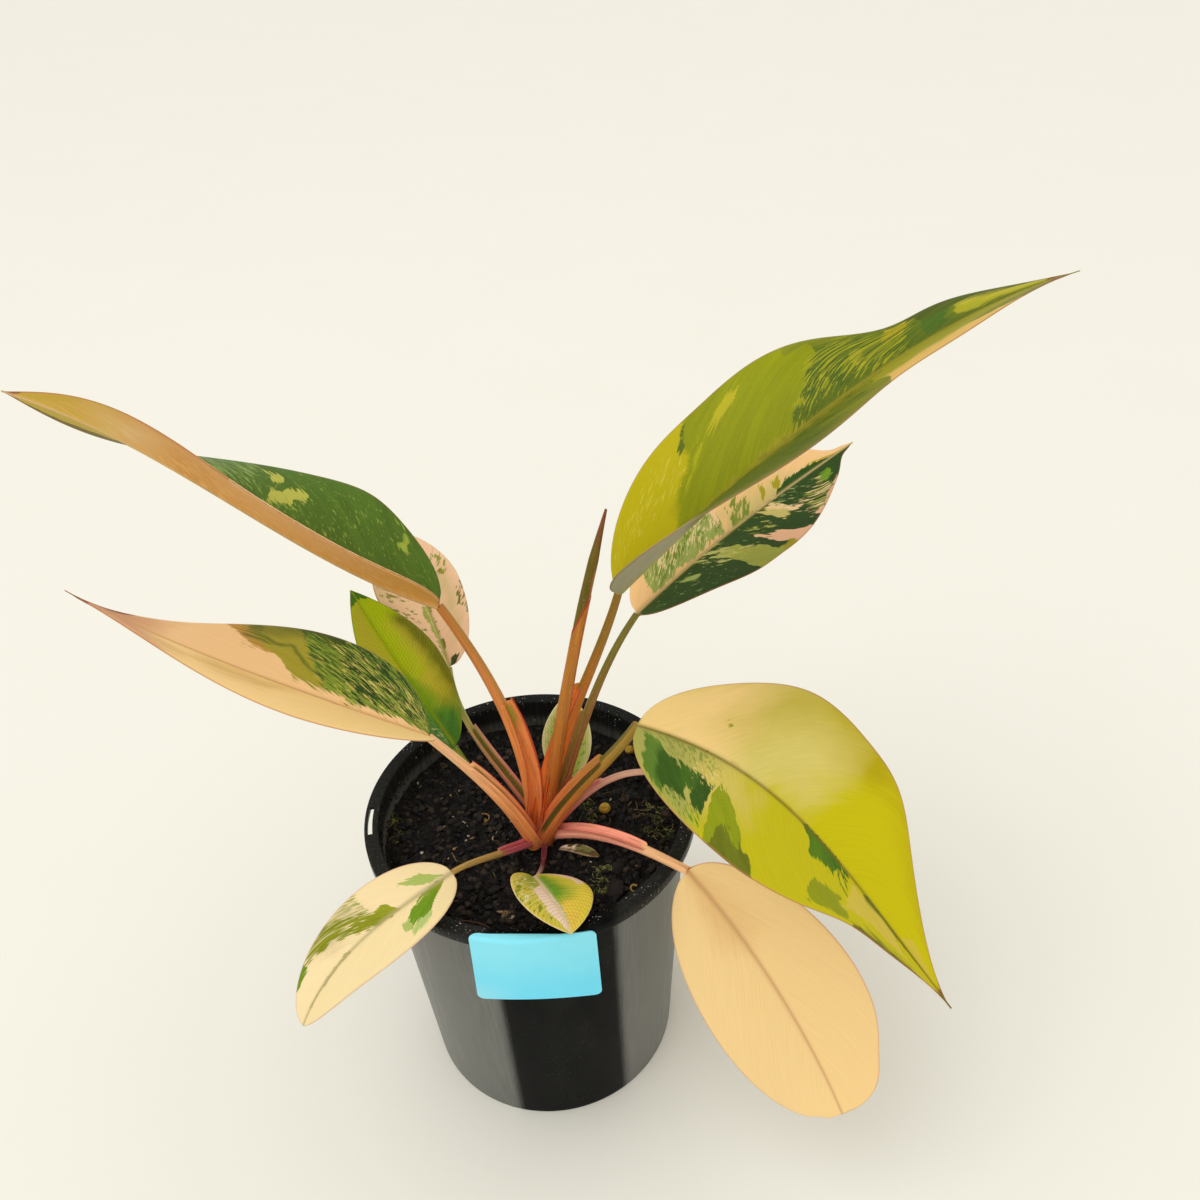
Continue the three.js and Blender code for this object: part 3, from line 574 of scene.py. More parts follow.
# A stalk's route is four control points, and its radius is given at foot and top. The sheath takes
# up a share of its length, with wings as high as "wing".
# Colours: foot and top of the stalk, the channel between the wings, the stripe that runs on above
# the sheath and how much of the top it takes, and the edge of the wings. The foot's colour turns
# into the top's from one share of the length over another. The channel's colour starts above
# "bare", and "aside" moves it round the stalk.
PETIOLES = {
    "left_long": dict(
        route=[(1, -3, 106), (2, 1, 140), (-9, 6, 166), (-21, 11, 187)], radius=(3, 1.4), sheath=0.52,
        wing=2.8, foot="#fa9854", top="#c47e3e", channel="#a8922e", stripe="#9c8030", share=0.5,
        edge="#b8442a", bare=0.34),
    "left_low": dict(
        route=[(1, -10, 103), (-6, -11, 126), (-16, -13, 142), (-26, -14, 157)],
        radius=(2.8, 1.3), sheath=0.68,
        wing=1.8, foot="#ff9e58", top="#fcc48e", channel="#8f762e", stripe="#a89a50", share=0.3,
        edge="#d0605c"),
    "back_green": dict(
        route=[(1, -4, 104), (-9, 0, 112), (-18, 6, 118), (-24, 12, 128)], radius=(1.7, 1.1), sheath=0.4,
        wing=1.0, foot="#c8824e", top="#7a8c2e", channel="#7f7a34", stripe="#8a983c", share=0.5,
        edge="#b8685c"),
    "back_pink": dict(
        route=[(2, -1, 106), (-10, 11, 120), (-24, 21, 129), (-25, 32, 146)], radius=(1.8, 1), sheath=0.62,
        wing=1.7, foot="#c87c58", top="#b0ac5c", channel="#6f6428", stripe="#8f9a48", share=0.6,
        edge="#d8848c"),
    "right_tall": dict(
        route=[(4, -5, 106), (9, 1, 139), (25, 8, 161), (33, 15, 185)], radius=(3.2, 1.25), sheath=0.6,
        wing=2.0, foot="#f47a30", top="#98702a", channel="#e67a3c", stripe="#7f6a20", share=0.55,
        edge="#b8442c"),
    "right_behind": dict(
        route=[(7, -1, 106), (17, 9, 129), (24, 19, 150), (39, 29, 166)], radius=(2.4, 1.1), sheath=0.5,
        wing=1.5, foot="#b87044", top="#80742c", channel="#8a7434", stripe="#6c6a2a", share=0.6,
        edge="#8e4a3c"),
    "right_front": dict(
        route=[(4, -9, 104), (12, -10, 126), (26, -11, 137), (36, -12, 155)], radius=(3.2, 1.6), sheath=0.7,
        wing=1.8, foot="#d8763a", top="#a08034", channel="#6a5a22", stripe="#6e641e", share=0.95,
        edge="#e0705c", aside=0.7),
    "cream_low": dict(
        route=[(6, -7, 104), (23, -17, 118), (37, -26, 115), (49, -35, 115)],
        radius=(2.4, 1.4), sheath=0.68,
        wing=1.4, foot="#ffa88c", top="#ffc490", channel="#ffa68e", stripe="#ffcc9c", share=0.4,
        edge="#ea7466", change=(0.62, 0.06)),
    "cream_small": dict(
        route=[(2, -9, 104), (-7, -19, 109), (-15, -28, 119), (-22, -36, 122)],
        radius=(1.5, 0.9), sheath=0.45,
        wing=1.0, foot="#d46a70", top="#b89450", channel="#b04e5c", stripe="#9a8440", share=0.3,
        edge="#cf6a78", change=(0.36, 0.12)),
    "heart": dict(
        route=[(4, -9, 104), (5, -19, 104.5), (3, -28, 108), (2, -33, 113.5)], radius=(1, 0.7), sheath=0.4,
        wing=0.6, foot="#6e3038", top="#d6b6a0", channel="#6e2f38", stripe="#c9907a", share=0.2,
        edge="#b04a58", change=(0.5, 0.4)),
    "back_small": dict(
        route=[(5, -3, 104), (8, 4, 105), (11, 10, 106), (13, 14, 108)], radius=(1.4, 0.9), sheath=0.4,
        wing=0.7, foot="#a87a48", top="#9a9a50", channel="#8a7a3a", stripe="#8f9a4a", share=0.3,
        edge="#b06a54"),
    "hidden": dict(
        route=[(7, -5, 104), (16, -6, 120), (27, -6, 131), (39, -7, 130)], radius=(1.6, 1), sheath=0.6,
        wing=0.9, foot="#cf7a74", top="#e5b49c", channel="#c06a68", stripe="#e0a890", share=0.3,
        edge="#d8787c"),
}
WING_TURN = math.pi / 5
WING_WIDTH = 0.17
WING_POINT = 1.1  # how far a wing's end runs on ahead, as a share of the wing's height
POINT_PLACE = (0.95, 0.03)  # where on the sheath that point starts, and over what share
POINT_WIDTH = 0.13
EDGE_WIDTH = 0.06  # of the wings' red edge
GROOVE = 0.3  # depth of the channel between the wings, as a share of the radius
GROOVE_WIDTH = 0.42
COLOUR_CHANGE = (0.2, 0.6)
CROWN_RED = "#7c2c20"  # deep colour of every foot, in the crown
CROWN_DEPTH = (0.55, 0.07)  # how much of it there is, and over what share of the length
PETIOLE_STEPS = 66
SHEATH_STEPS = np.linspace(0.88, 1.03, 26)  # more steps where a sheath ends, as shares of its length

# Points round a stalk stand closer together near the two wings
even = np.linspace(-math.pi, math.pi, 72, endpoint=False)
petiole_angles = even - 0.34 * np.sin(2 * even + 0.3) * np.cos(even / 2) ** 2


def stalk_finish():
    """Fleshy stalk: streaked lengthwise, with a stripe on top, red wing edges and small dark dots."""
    finish, tree, surface = new_finish("petiole")
    body = lay(tree, "Attribute", attribute_name="body").outputs["Color"]
    stripe = lay(tree, "Attribute", attribute_name="stripe")
    edge = lay(tree, "Attribute", attribute_name="edge")
    run = lay(tree, "Attribute", attribute_name="run").outputs["Vector"]
    streaks = grain_of(tree, 1.0, 4.0, (1.8, 0.05, 1), run)
    threads = grain_of(tree, 1.0, 3.0, (4.5, 0.12, 1), run)
    dots = ramp_of(tree, grain_of(tree, 1.0, 1.0, (1.9, 0.7, 1), run), 0.73, 0.76)
    pale_dots = ramp_of(tree, grain_of(tree, 1.0, 1.0, (2.6, 1.1, 1.7), run), 0.72, 0.75)
    wander = sum_of(tree, "MULTIPLY", sum_of(tree, "SUBTRACT", streaks, 0.5), 1.1)
    striped = ramp_of(tree, sum_of(tree, "ADD", stripe.outputs["Alpha"], wander), 0.3, 0.7)
    base = blend_of(tree, striped, body, stripe.outputs["Color"])
    tone = sum_of(tree, "ADD", ramp_of(tree, streaks, 0.3, 0.7, 0.8, 1.14), ramp_of(
        tree, threads, 0.3, 0.7, -0.12, 0.12))
    toned = lay(tree, "HueSaturation", {"Value": tone, "Color": base}).outputs[0]
    ragged = sum_of(tree, "ADD", edge.outputs["Alpha"], sum_of(tree, "MULTIPLY", wander, 0.5))
    edged = blend_of(tree, ramp_of(tree, ragged, 0.35, 0.8), toned, edge.outputs["Color"])
    speckled = blend_of(tree, sum_of(tree, "MULTIPLY", pale_dots, 0.5), edged, paint("#ecd2a4"))
    dotted = blend_of(tree, sum_of(tree, "MULTIPLY", dots, 0.75), speckled, paint("#4a2018"))
    fill(tree, surface, {
        "Base Color": dotted, "Roughness": ramp_of(tree, streaks, 0.3, 0.7, 0.32, 0.42),
        "Specular IOR Level": 0.28, "Specular Tint": (1, 0.8, 0.5, 1),
        "Subsurface Weight": 0.12, "Subsurface Radius": (1, 0.35, 0.15), "Subsurface Scale": 1.0 * MM})
    press_in(tree, surface, threads, 0.1)
    return finish


def store_vectors(piece, name, values):
    """Stores three numbers for each point of a piece."""
    layer = piece.data.attributes.new(name, "FLOAT_VECTOR", "POINT")
    layer.data.foreach_set("vector", np.asarray(values, float).ravel())


def tinted(codes, share):
    """Point colours that go from one code to another by a share."""
    share = np.clip(share, 0, 1)[:, None]
    return (1 - share) * shade(codes[0]) + share * shade(codes[1])


petiole_finish = stalk_finish()
for seed, (name, stalk) in enumerate(PETIOLES.items()):
    sheath = stalk["sheath"]
    t = np.unique(np.concatenate([np.linspace(0, 1, PETIOLE_STEPS), sheath * SHEATH_STEPS]))

    def wing_share(t):
        """How high the wings stand along the stalk, and 0 above the sheath."""
        return np.sqrt(np.maximum(0, 1 - (t / sheath) ** 14)) * np.minimum(1, 0.6 + t / sheath)

    def reach(t, angle):
        """Radius of the stalk with its wings and its channel."""
        foot, top = stalk["radius"]
        radius = foot + (top - foot) * np.sqrt(t)
        section = np.exp(-((np.abs(angle) - WING_TURN) / WING_WIDTH) ** 2)
        channel = GROOVE * radius * np.exp(-(angle / GROOVE_WIDTH) ** 2)
        channel = channel * np.clip(1.25 - 0.9 * t / sheath, 0.25, 1)
        return radius + stalk["wing"] * wing_share(t) * section - channel

    rings = swept(stalk["route"], t, petiole_angles, reach)
    rows, sides = rings.shape[:2]
    direction = curve_frame(stalk["route"], t)[1]
    at_end = np.exp(-((t / sheath - POINT_PLACE[0]) / POINT_PLACE[1]) ** 2)
    on_wing = np.exp(-((np.abs(petiole_angles) - WING_TURN) / POINT_WIDTH) ** 2)
    on_wing *= np.where(petiole_angles > 0, 1, 0.7)
    ahead = WING_POINT * stalk["wing"] * at_end[:, None] * on_wing[None, :]
    rings = rings + ahead[..., None] * direction[:, None]

    piece = piece_of(f"{name}_petiole", *skin(rings), petiole_finish, "petiole", f"petiole_{name}")
    length = np.linalg.norm(np.diff(rings.mean(1), axis=0), axis=1).sum()
    along = np.repeat(t, sides)
    around = np.tile(petiole_angles, rows)
    change = stalk.get("change", COLOUR_CHANGE)
    body = tinted((stalk["foot"], stalk["top"]), (along - change[0]) / change[1])
    deep = CROWN_DEPTH[0] * np.exp(-(along / CROWN_DEPTH[1]) ** 2)[:, None]
    colour_points(piece, "body", (1 - deep) * body + deep * np.array(shade(CROWN_RED)))
    above = np.clip((along / sheath - 0.94) / 0.05, 0, 1)
    from_bare = np.clip((along - stalk.get("bare", 0.02)) / 0.12, 0.15, 1)
    in_channel = np.exp(-((around - stalk.get("aside", 0)) / 0.5) ** 4) * from_bare
    on_top = (1 - above) * in_channel + above * stalk["share"] * np.exp(-(around / 0.75) ** 2)
    stripe_tint = tinted((stalk["channel"], stalk["stripe"]), above)
    colour_points(piece, "stripe", np.column_stack([stripe_tint, on_top]))
    crest = np.exp(-((np.abs(around) - WING_TURN) / EDGE_WIDTH) ** 2)
    crest *= np.clip(wing_share(along) * 1.4, 0, 1)
    colour_points(piece, "edge", np.column_stack([
        np.tile(shade(stalk["edge"]), (rows * sides, 1)), crest]))
    apart = np.full(rows * sides, seed * 9.0)
    store_vectors(piece, "run", np.column_stack([around * np.mean(stalk["radius"]), along * length, apart]))

# Blades
# Twelve thick glossy leaves, each with a sunken midrib above, a keel below and a thin pink margin.
# The variegation follows the side veins: cream, peach and chartreuse sectors, and green patches
# that break up into streaks and flecks.

# A midrib is a curve of four control points. The half width is reached at the share "widest" of the
# length, and "tip" is how sharply the blade tapers beyond. Lean and twist turn it about the midrib
# and fold lifts its halves, all in degrees: left at base and tip, then right at base and tip. Bend
# curves each half, and lobe draws the base back beside the stalk. A nick is side, place, depth as a
# share of the width (below zero, a bulge) and length. Ground is the colour of each half.
# A patch is: side (-1 left, 1 right, 0 both), then for two places across the half leaf (0 midrib,
# 1 margin) that place with the lengths where the patch starts and stops, then colour and cover.
BLADES = {
    "left_long": dict(
        slot="leaf_variegated", midrib=[(-21, 11, 187), (-62, 12, 206), (-91, 27, 238), (-139, 37, 253)],
        half=26.8, widest=0.36, tip=1.17, lean=-6, twist=-98, fold=(62, 17, 48, 20), bend=(-0.25, -0.12),
        nicks=[(-1, 0.33, -0.07, 0.12), (1, 0.25, -0.1, 0.12)], veins=(0.2, 0.06),
        ground=("#d2943c", "#4e6c20"), rib="#d9b27a", edge="#a4583a",
        washes=[(-1, (0, 0.52, 0.78), (1, 0.52, 0.78), "#cc8c36", 1),
                (-1, (0, 0.78, 1.2), (1, 0.78, 1.2), "#c5a32c", 1),
                # The pale band across the left half at about 0.7 of the length is a painted sheen
                (-1, (0.1, 0.7, 0.77), (0.6, 0.7, 0.78), "#e2c48e", 0.9),
                (1, (0, 0.66, 1.2), (1, 0.66, 1.2), "#bda232", 1)],
        zones=[(-1, (0.75, -0.1, 0.5), (1.1, -0.1, 0.5), "#f0c488", 0.7),
               (1, (0.62, 0.76, 1.2), (1.1, 0.74, 1.2), "#6f5f1e", 0.8)],
        marks=[(1, (0.46, 0.37, 0.415), (0.63, 0.375, 0.42), "#b6b54e", 1),
               (1, (0.3, 0.395, 0.44), (0.5, 0.4, 0.455), "#b6b54e", 1),
               (1, (0.74, 0.455, 0.475), (0.84, 0.46, 0.5), "#b6b54e", 0.9),
               (1, (0.62, 0.45, 0.465), (0.68, 0.45, 0.47), "#b6b54e", 0.9),
               (1, (0.16, 0.29, 0.32), (0.28, 0.29, 0.34), "#98a83c", 0.6),
               (1, (0.6, 0.11, 0.13), (0.78, 0.12, 0.145), "#98a83c", 0.8),
               (1, (0.86, 0.1, 0.14), (0.97, 0.14, 0.19), "#98a83c", 0.65),
               (1, (0.3, 0.24, 0.26), (0.4, 0.25, 0.27), "#98a83c", 0.7),
               (1, (0.5, 0.235, 0.25), (0.62, 0.245, 0.26), "#98a83c", 0.7),
               (0, (0, 0.975, 1.2), (1.1, 0.96, 1.2), "#8a4a34", 0.9)],
        flecks=[(-1, (0, -0.1, 1), (1.1, -0.1, 0.8), "#d9a352", 0.44),
                (1, (0.3, 0.48, 0.6), (1, 0.5, 0.64), "#7f9646", 0.47),
                (1, (0.1, 0.3, 0.44), (0.4, 0.32, 0.48), "#8c9c3c", 0.4)],
        specks=[(1, (0, 0, 0.62), (1, 0, 0.62), "#8c9c3c", 0.24)]),
    "left_low": dict(
        slot="leaf_variegated",
        midrib=[(-26, -14, 157), (-48, -19, 176), (-93, -15, 197), (-111, -20, 222)],
        half=26.2, widest=0.38, tip=1.62, lean=-8, twist=-26, fold=(29, -1, 25, 0), bend=(-0.05, 0),
        nicks=[(1, 0.73, 0.07, 0.12)], veins=(0.42, 0.05),
        ground=("#fdd890", "#f8ce94"), rib="#c99a5c", edge="#b5624a",
        washes=[(0, (0, 0.78, 1.2), (1, 0.74, 1.2), "#d59a6c", 1),
                # The olive wash beside the midrib on the left half is painted shade, the shadows in that
                # half's ripples
                (-1, (0.15, 0.42, 0.6), (0.5, 0.5, 0.68), "#cba148", 0.8)],
        zones=[(1, (0.12, -0.1, 0.39), (1.1, -0.1, 0.615), "#7f962e", 1)],
        marks=[(1, (0.12, 0.33, 0.41), (1.1, 0.45, 0.615), "#a79c30", 1),
               (1, (0.45, 0.48, 0.52), (1.1, 0.57, 0.63), "#c0923e", 0.75),
               (1, (0.28, 0.325, 0.345), (0.85, 0.52, 0.545), "#46601a", 0.8),
               (1, (0.88, 0.3, 0.55), (1.1, 0.3, 0.56), "#4f5a1c", 0.8),
               (1, (0.4, 0.86, 1.2), (1.1, 0.8, 1.2), "#8a4a2c", 0.9),
               (0, (0, 0.94, 1.2), (1.1, 0.93, 1.2), "#7a3c24", 0.9)],
        flecks=[(1, (0.1, -0.1, 0.26), (1.1, -0.1, 0.36), "#28461a", 0.56),
                (1, (0.1, 0.26, 0.34), (1.1, 0.36, 0.46), "#3a5a1c", 0.44),
                (1, (0.5, 0.46, 0.56), (1.1, 0.52, 0.6), "#6a6c1c", 0.46)],
        specks=[(1, (0.08, -0.05, 0.28), (0.9, -0.05, 0.34), "#d4c468", 0.36),
                (1, (0.08, 0.25, 0.36), (0.9, 0.3, 0.44), "#b9b04c", 0.33)]),
    "back_green": dict(
        slot="leaf_green", midrib=[(-24, 12, 128), (-34, 16, 150), (-43, 26, 160), (-53, 35, 178)],
        half=14, widest=0.48, tip=0.9, lean=0, twist=8,
        fold=(24, 22, 22, 24), bend=(-0.05, -0.08), ground=("#bac204", "#b6c604"), rib="#98aa10",
        edge="#7f7a2c",
        washes=[(0, (0, -0.1, 0.3), (1, -0.1, 0.24), "#4c842c", 1),
                (0, (0, 0.25, 0.5), (0.3, 0.2, 0.36), "#74a808", 0.9),
                (1, (0.4, 0.25, 0.75), (0.75, 0.2, 0.75), "#c8bb30", 0.95),
                (-1, (0.1, 0.5, 0.95), (1, 0.4, 0.9), "#c4b62c", 0.8),
                (1, (0.85, 0.25, 0.75), (1.1, 0.25, 0.75), "#7c7a18", 0.95)],
        marks=[(0, (0, 0.95, 1.2), (1, 0.92, 1.2), "#4c7a1c", 0.9)],
        flecks=[(-1, (0.1, 0, 0.3), (1, 0, 0.3), "#2f6a24", 0.4)],
        specks=[(-1, (0.1, 0.03, 0.16), (0.7, 0.05, 0.2), "#a9b86a", 0.4)]),
    "back_pink": dict(
        slot="leaf_cream", midrib=[(-25, 32, 146), (-30, 43, 162), (-36, 52, 172), (-42, 61, 183)],
        half=18, widest=0.55, tip=0.7, lean=-19, twist=5,
        fold=(16, 6, 10, 10), bend=(-0.08, -0.2),
        ground=("#fbcfa2", "#fbcda4"), rib="#b4b05c", edge="#a8804c",
        washes=[(1, (0.4, 0.12, 0.62), (0.7, 0.2, 0.66), "#d8bd84", 1),
                (-1, (0.8, 0.45, 0.72), (1, 0.45, 0.72), "#cdb47c", 0.8)],
        zones=[(-1, (0.02, 0.05, 0.5), (0.16, 0.1, 0.56), "#a9ad4c", 0.9)],
        marks=[(-1, (0.3, 0.12, 0.22), (0.7, 0.14, 0.28), "#6f7a14", 0.85),
               (-1, (0.38, 0.39, 0.41), (0.5, 0.4, 0.425), "#76701c", 0.9),
               (-1, (0.44, 0.33, 0.345), (0.56, 0.34, 0.36), "#76701c", 0.9),
               (1, (0.72, 0.34, 0.44), (0.82, 0.33, 0.46), "#76701c", 0.85),
               (1, (0.5, 0.56, 0.62), (0.66, 0.58, 0.64), "#86880c", 0.85),
               (1, (0.74, 0.68, 0.72), (0.86, 0.7, 0.75), "#8f9a30", 0.85),
               (1, (0.93, 0.28, 0.5), (1.1, 0.28, 0.5), "#8a7a3c", 0.8),
               (1, (0, 0.04, 0.42), (0.06, 0.05, 0.42), "#7a8424", 0.9),
               (1, (0.06, 0.12, 0.16), (0.14, 0.12, 0.17), "#6a6a1c", 0.9),
               (1, (0.2, -0.1, 0.04), (0.7, -0.1, 0.05), "#3f4a1c", 0.9)],
        flecks=[(-1, (0.3, 0.1, 0.45), (1, 0.1, 0.5), "#8a8430", 0.4),
                (-1, (0.26, 0.47, 0.6), (0.62, 0.5, 0.62), "#928c30", 0.53),
                (-1, (0.7, 0.5, 0.66), (1, 0.54, 0.7), "#9c9440", 0.5),
                (1, (0.4, 0.58, 0.76), (1, 0.58, 0.8), "#98943a", 0.4)]),
    "right_tall": dict(
        slot="leaf_variegated", midrib=[(33, 15, 185), (72, 13, 228), (118, 39, 255), (171, 50, 264)],
        half=29.6, widest=0.36, tip=1.47, lean=-21, twist=32, fold=(24, 17, 69, 14), bend=(-0.13, -0.06),
        nicks=[(-1, 0.33, 0.07, 0.11), (-1, 0.67, 0.38, 0.1), (1, 0.35, -0.13, 0.12), (1, 0.6, 0.28, 0.12)],
        veins=(0.2, 0.1), ground=("#5c6e14", "#7a7c10"), rib="#a59a34", edge="#a06a50",
        washes=[(1, (0, -0.1, 0.2), (1.1, -0.1, 0.22), "#98957a", 1),
                # The dark olive wash on the right half, just past its pale base, is painted shade where
                # that half is seen at a grazing angle
                (1, (0, 0.22, 0.46), (1.1, 0.24, 0.46), "#5a641c", 0.9),
                (-1, (0, 0.79, 1.2), (1, 0.79, 1.2), "#9a9a24", 0.9)],
        zones=[(-1, (0, -0.1, 0.15), (0.5, -0.1, 0.235), "#bcaf04", 1),
               (-1, (0.5, -0.1, 0.265), (0.68, -0.1, 0.265), "#bcaf04", 1),
               (-1, (0.68, -0.1, 0.235), (1.1, -0.1, 0.31), "#bcaf04", 1),
               (-1, (0, 0.15, 0.42), (0.2, 0.17, 0.45), "#8e9400", 1),
               (-1, (0.2, 0.17, 0.46), (0.6, 0.26, 0.525), "#8e9400", 1),
               (-1, (0.6, 0.26, 0.54), (1.1, 0.3, 0.54), "#8e9400", 1),
               (1, (0.58, 0.585, 0.75), (1.1, 0.58, 0.89), "#dcb25a", 1),
               (1, (0, 0.56, 1.2), (0.58, 0.57, 1.2), "#98931c", 0.9)],
        marks=[(-1, (0.6, 0.31, 0.34), (0.92, 0.38, 0.42), "#b9b01c", 0.75),
               (-1, (0.3, 0.2, 0.23), (0.7, 0.3, 0.33), "#a8a80c", 0.65),
               (-1, (0, 0.16, 0.44), (0.07, 0.2, 0.46), "#a39c20", 0.8),
               (-1, (0.86, 0.5, 0.62), (1.1, 0.5, 0.64), "#7f8418", 0.85),
               (-1, (0.5, 0.635, 0.67), (0.88, 0.65, 0.69), "#d0ae1c", 0.95),
               (-1, (0.2, 0.565, 0.59), (0.6, 0.585, 0.61), "#b3ac2c", 0.8),
               (-1, (0.12, 0.7, 0.745), (0.7, 0.72, 0.77), "#48681a", 0.8),
               (-1, (0.2, 0.78, 0.81), (0.6, 0.79, 0.82), "#c0b848", 0.8),
               (1, (0, 0.3, 0.6), (0.3, 0.35, 0.6), "#8a8424", 0.6),
               (-1, (0.25, 0.77, 0.93), (0.62, 0.78, 0.93), "#a8a41c", 0.95),
               (-1, (0.66, 0.72, 1.1), (1.1, 0.66, 1.1), "#4e5c14", 0.85),
               (-1, (0, 0.72, 0.96), (0.16, 0.74, 0.96), "#5c6a1c", 0.8),
               (0, (0, 0.95, 1.2), (1.1, 0.93, 1.2), "#74461f", 0.9)],
        flecks=[(1, (0.05, 0.2, 0.54), (0.9, 0.24, 0.56), "#3c5612", 0.44),
                (-1, (0.05, 0.43, 0.66), (0.95, 0.55, 0.72), "#a09e1c", 0.5),
                (-1, (0.3, 0.77, 0.95), (0.85, 0.79, 0.95), "#c3b63a", 0.5),
                (-1, (0.3, -0.1, 0.22), (0.9, -0.1, 0.28), "#ccbf3c", 0.36)],
        specks=[(-1, (0.05, 0.43, 0.7), (0.95, 0.56, 0.72), "#456018", 0.45)]),
    "right_behind": dict(
        slot="leaf_variegated", midrib=[(39, 29, 166), (71, 53, 181), (88, 64, 185), (119, 84, 194)],
        half=21.5, widest=0.47, tip=1.16, lean=-16, twist=-14, fold=(27, 23, 34, 8), bend=(-0.17, -0.07),
        nicks=[(1, 0.3, -0.1, 0.12), (-1, 0.93, 0.5, 0.06), (1, 0.95, 0.4, 0.04)], veins=(0.18, 0.06),
        ground=("#ffcf90", "#2c4a1a"), rib="#d9bd80", edge="#b97a5c",
        washes=[(-1, (0, 0.4, 0.7), (0.25, 0.42, 0.72), "#d8c47c", 1)],
        zones=[(1, (0.22, 0.28, 0.335), (1.1, 0.345, 0.5), "#a3a746", 1),
               (-1, (0.06, 0.07, 0.39), (1.1, 0.1, 0.43), "#a2ae5c", 0.95),
               (-1, (0, 0.63, 0.97), (0.2, 0.7, 0.95), "#2f561e", 1),
               (1, (0.6, 0.45, 0.5), (1.1, 0.53, 0.66), "#f2bd96", 0.95)],
        marks=[(-1, (0.35, 0.185, 0.215), (0.6, 0.2, 0.235), "#f9d0a0", 0.95),
               (-1, (0.22, 0.355, 0.385), (0.6, 0.39, 0.43), "#f9d0a0", 0.95),
               (-1, (0.2, 0.8, 0.99), (0.32, 0.82, 0.97), "#b8a51c", 0.9),
               (-1, (0.08, 0.575, 0.605), (0.34, 0.6, 0.63), "#b0a428", 0.9),
               (-1, (0.08, 0.64, 0.665), (0.32, 0.665, 0.69), "#b0a428", 0.9),
               (-1, (0.06, 0.1, 0.15), (0.6, 0.12, 0.2), "#8fa24a", 0.6),
               (1, (0.22, 0.14, 0.18), (0.46, 0.17, 0.21), "#a0b05c", 0.9),
               (1, (0.08, 0.52, 0.595), (0.5, 0.585, 0.64), "#cfc070", 0.85),
               (1, (0.12, 0.575, 0.6), (0.56, 0.65, 0.675), "#f9d19c", 0.95),
               (1, (0.45, 0.43, 0.455), (0.65, 0.455, 0.475), "#f2c094", 0.9),
               (1, (0.9, 0.46, 0.52), (1.1, 0.47, 0.54), "#a89a24", 0.9),
               (1, (0.85, 0.68, 0.73), (1.1, 0.69, 0.74), "#f2bd96", 0.85),
               (1, (0.3, 0.79, 0.86), (0.66, 0.82, 0.87), "#6f9424", 0.85),
               (1, (0.86, 0.74, 0.87), (1.1, 0.74, 0.88), "#e6b286", 0.75)],
        flecks=[(-1, (0, 0.42, 0.52), (0.5, 0.45, 0.56), "#8a983a", 0.56),
                (-1, (0.1, 0.07, 0.38), (1, 0.1, 0.42), "#7d9038", 0.5),
                (1, (0, 0.21, 0.34), (0.5, 0.25, 0.36), "#bdbb6a", 0.5),
                (1, (0.1, 0.4, 0.52), (0.6, 0.47, 0.56), "#a8ab50", 0.36),
                (1, (0.35, 0.66, 0.82), (1, 0.7, 0.84), "#858f34", 0.53)],
        specks=[(-1, (0.1, 0.07, 0.38), (1, 0.1, 0.42), "#e9d59c", 0.42),
                (1, (0, 0, 0.25), (1, 0.02, 0.3), "#9fb45c", 0.2),
                (1, (0.3, 0.62, 0.82), (1, 0.66, 0.84), "#f0cf9c", 0.38),
                (1, (0, 0.56, 0.8), (0.4, 0.6, 0.8), "#9cae6a", 0.3),
                (1, (0.25, 0.28, 0.38), (0.7, 0.32, 0.46), "#c9c46c", 0.35)]),
    "right_front": dict(
        slot="leaf_variegated", midrib=[(36, -12, 155), (78, -29, 151), (90, -49, 133), (119, -78, 101)],
        half=33.8, widest=0.41, tip=1.54, lean=0, twist=17, fold=(-2, 22, 4, 13), bend=(0.09, -0.01),
        nicks=[(-1, 0.3, -0.15, 0.14), (-1, 0.61, -0.1, 0.12), (1, 0.5, 0.05, 0.3), (1, 0.75, 0.18, 0.1)],
        veins=(0.14, 0.14), ground=("#c8bc00", "#c4b900"), rib="#77661e", edge="#b8745c",
        washes=[(-1, (0, -0.1, 0.3), (1.1, -0.1, 0.29), "#f2cf86", 1),
                (-1, (0.1, 0.26, 0.46), (1.1, 0.26, 0.52), "#d8c76c", 1),
                (-1, (0.85, 0.3, 1.1), (1.1, 0.3, 1.1), "#b4a204", 0.8),
                (1, (0, -0.1, 0.24), (1.1, -0.1, 0.24), "#a9a552", 1),
                (1, (0.12, 0.18, 0.36), (0.5, 0.22, 0.38), "#d3bf58", 0.9),
                (-1, (0.42, 0.19, 0.25), (0.9, 0.26, 0.32), "#bda834", 0.7)],
        zones=[(1, (0.34, 0.25, 0.275), (1.1, 0.31, 0.53), "#8f9a08", 1)],
        marks=[(1, (0.2, 0.02, 0.07), (0.95, 0.05, 0.14), "#5a7a24", 0.9),
               (1, (0.36, 0.07, 0.13), (0.8, 0.1, 0.2), "#35580f", 1),
               (1, (0.34, 0.14, 0.2), (0.6, 0.16, 0.235), "#3f6414", 0.9),
               (1, (0.42, 0.2, 0.25), (0.76, 0.215, 0.265), "#305210", 1),
               (1, (0.74, 0.31, 0.42), (1.1, 0.33, 0.52), "#6a720c", 0.85),
               (1, (0, 0.49, 0.62), (0.26, 0.56, 0.63), "#4f740a", 0.9),
               (1, (0.5, 0.6, 0.68), (0.9, 0.62, 0.73), "#8f950a", 0.9),
               (1, (0.08, 0.68, 0.82), (0.6, 0.7, 0.88), "#d0ba44", 0.95),
               (1, (0.88, 0.74, 0.9), (1.1, 0.74, 0.92), "#66660f", 0.8),
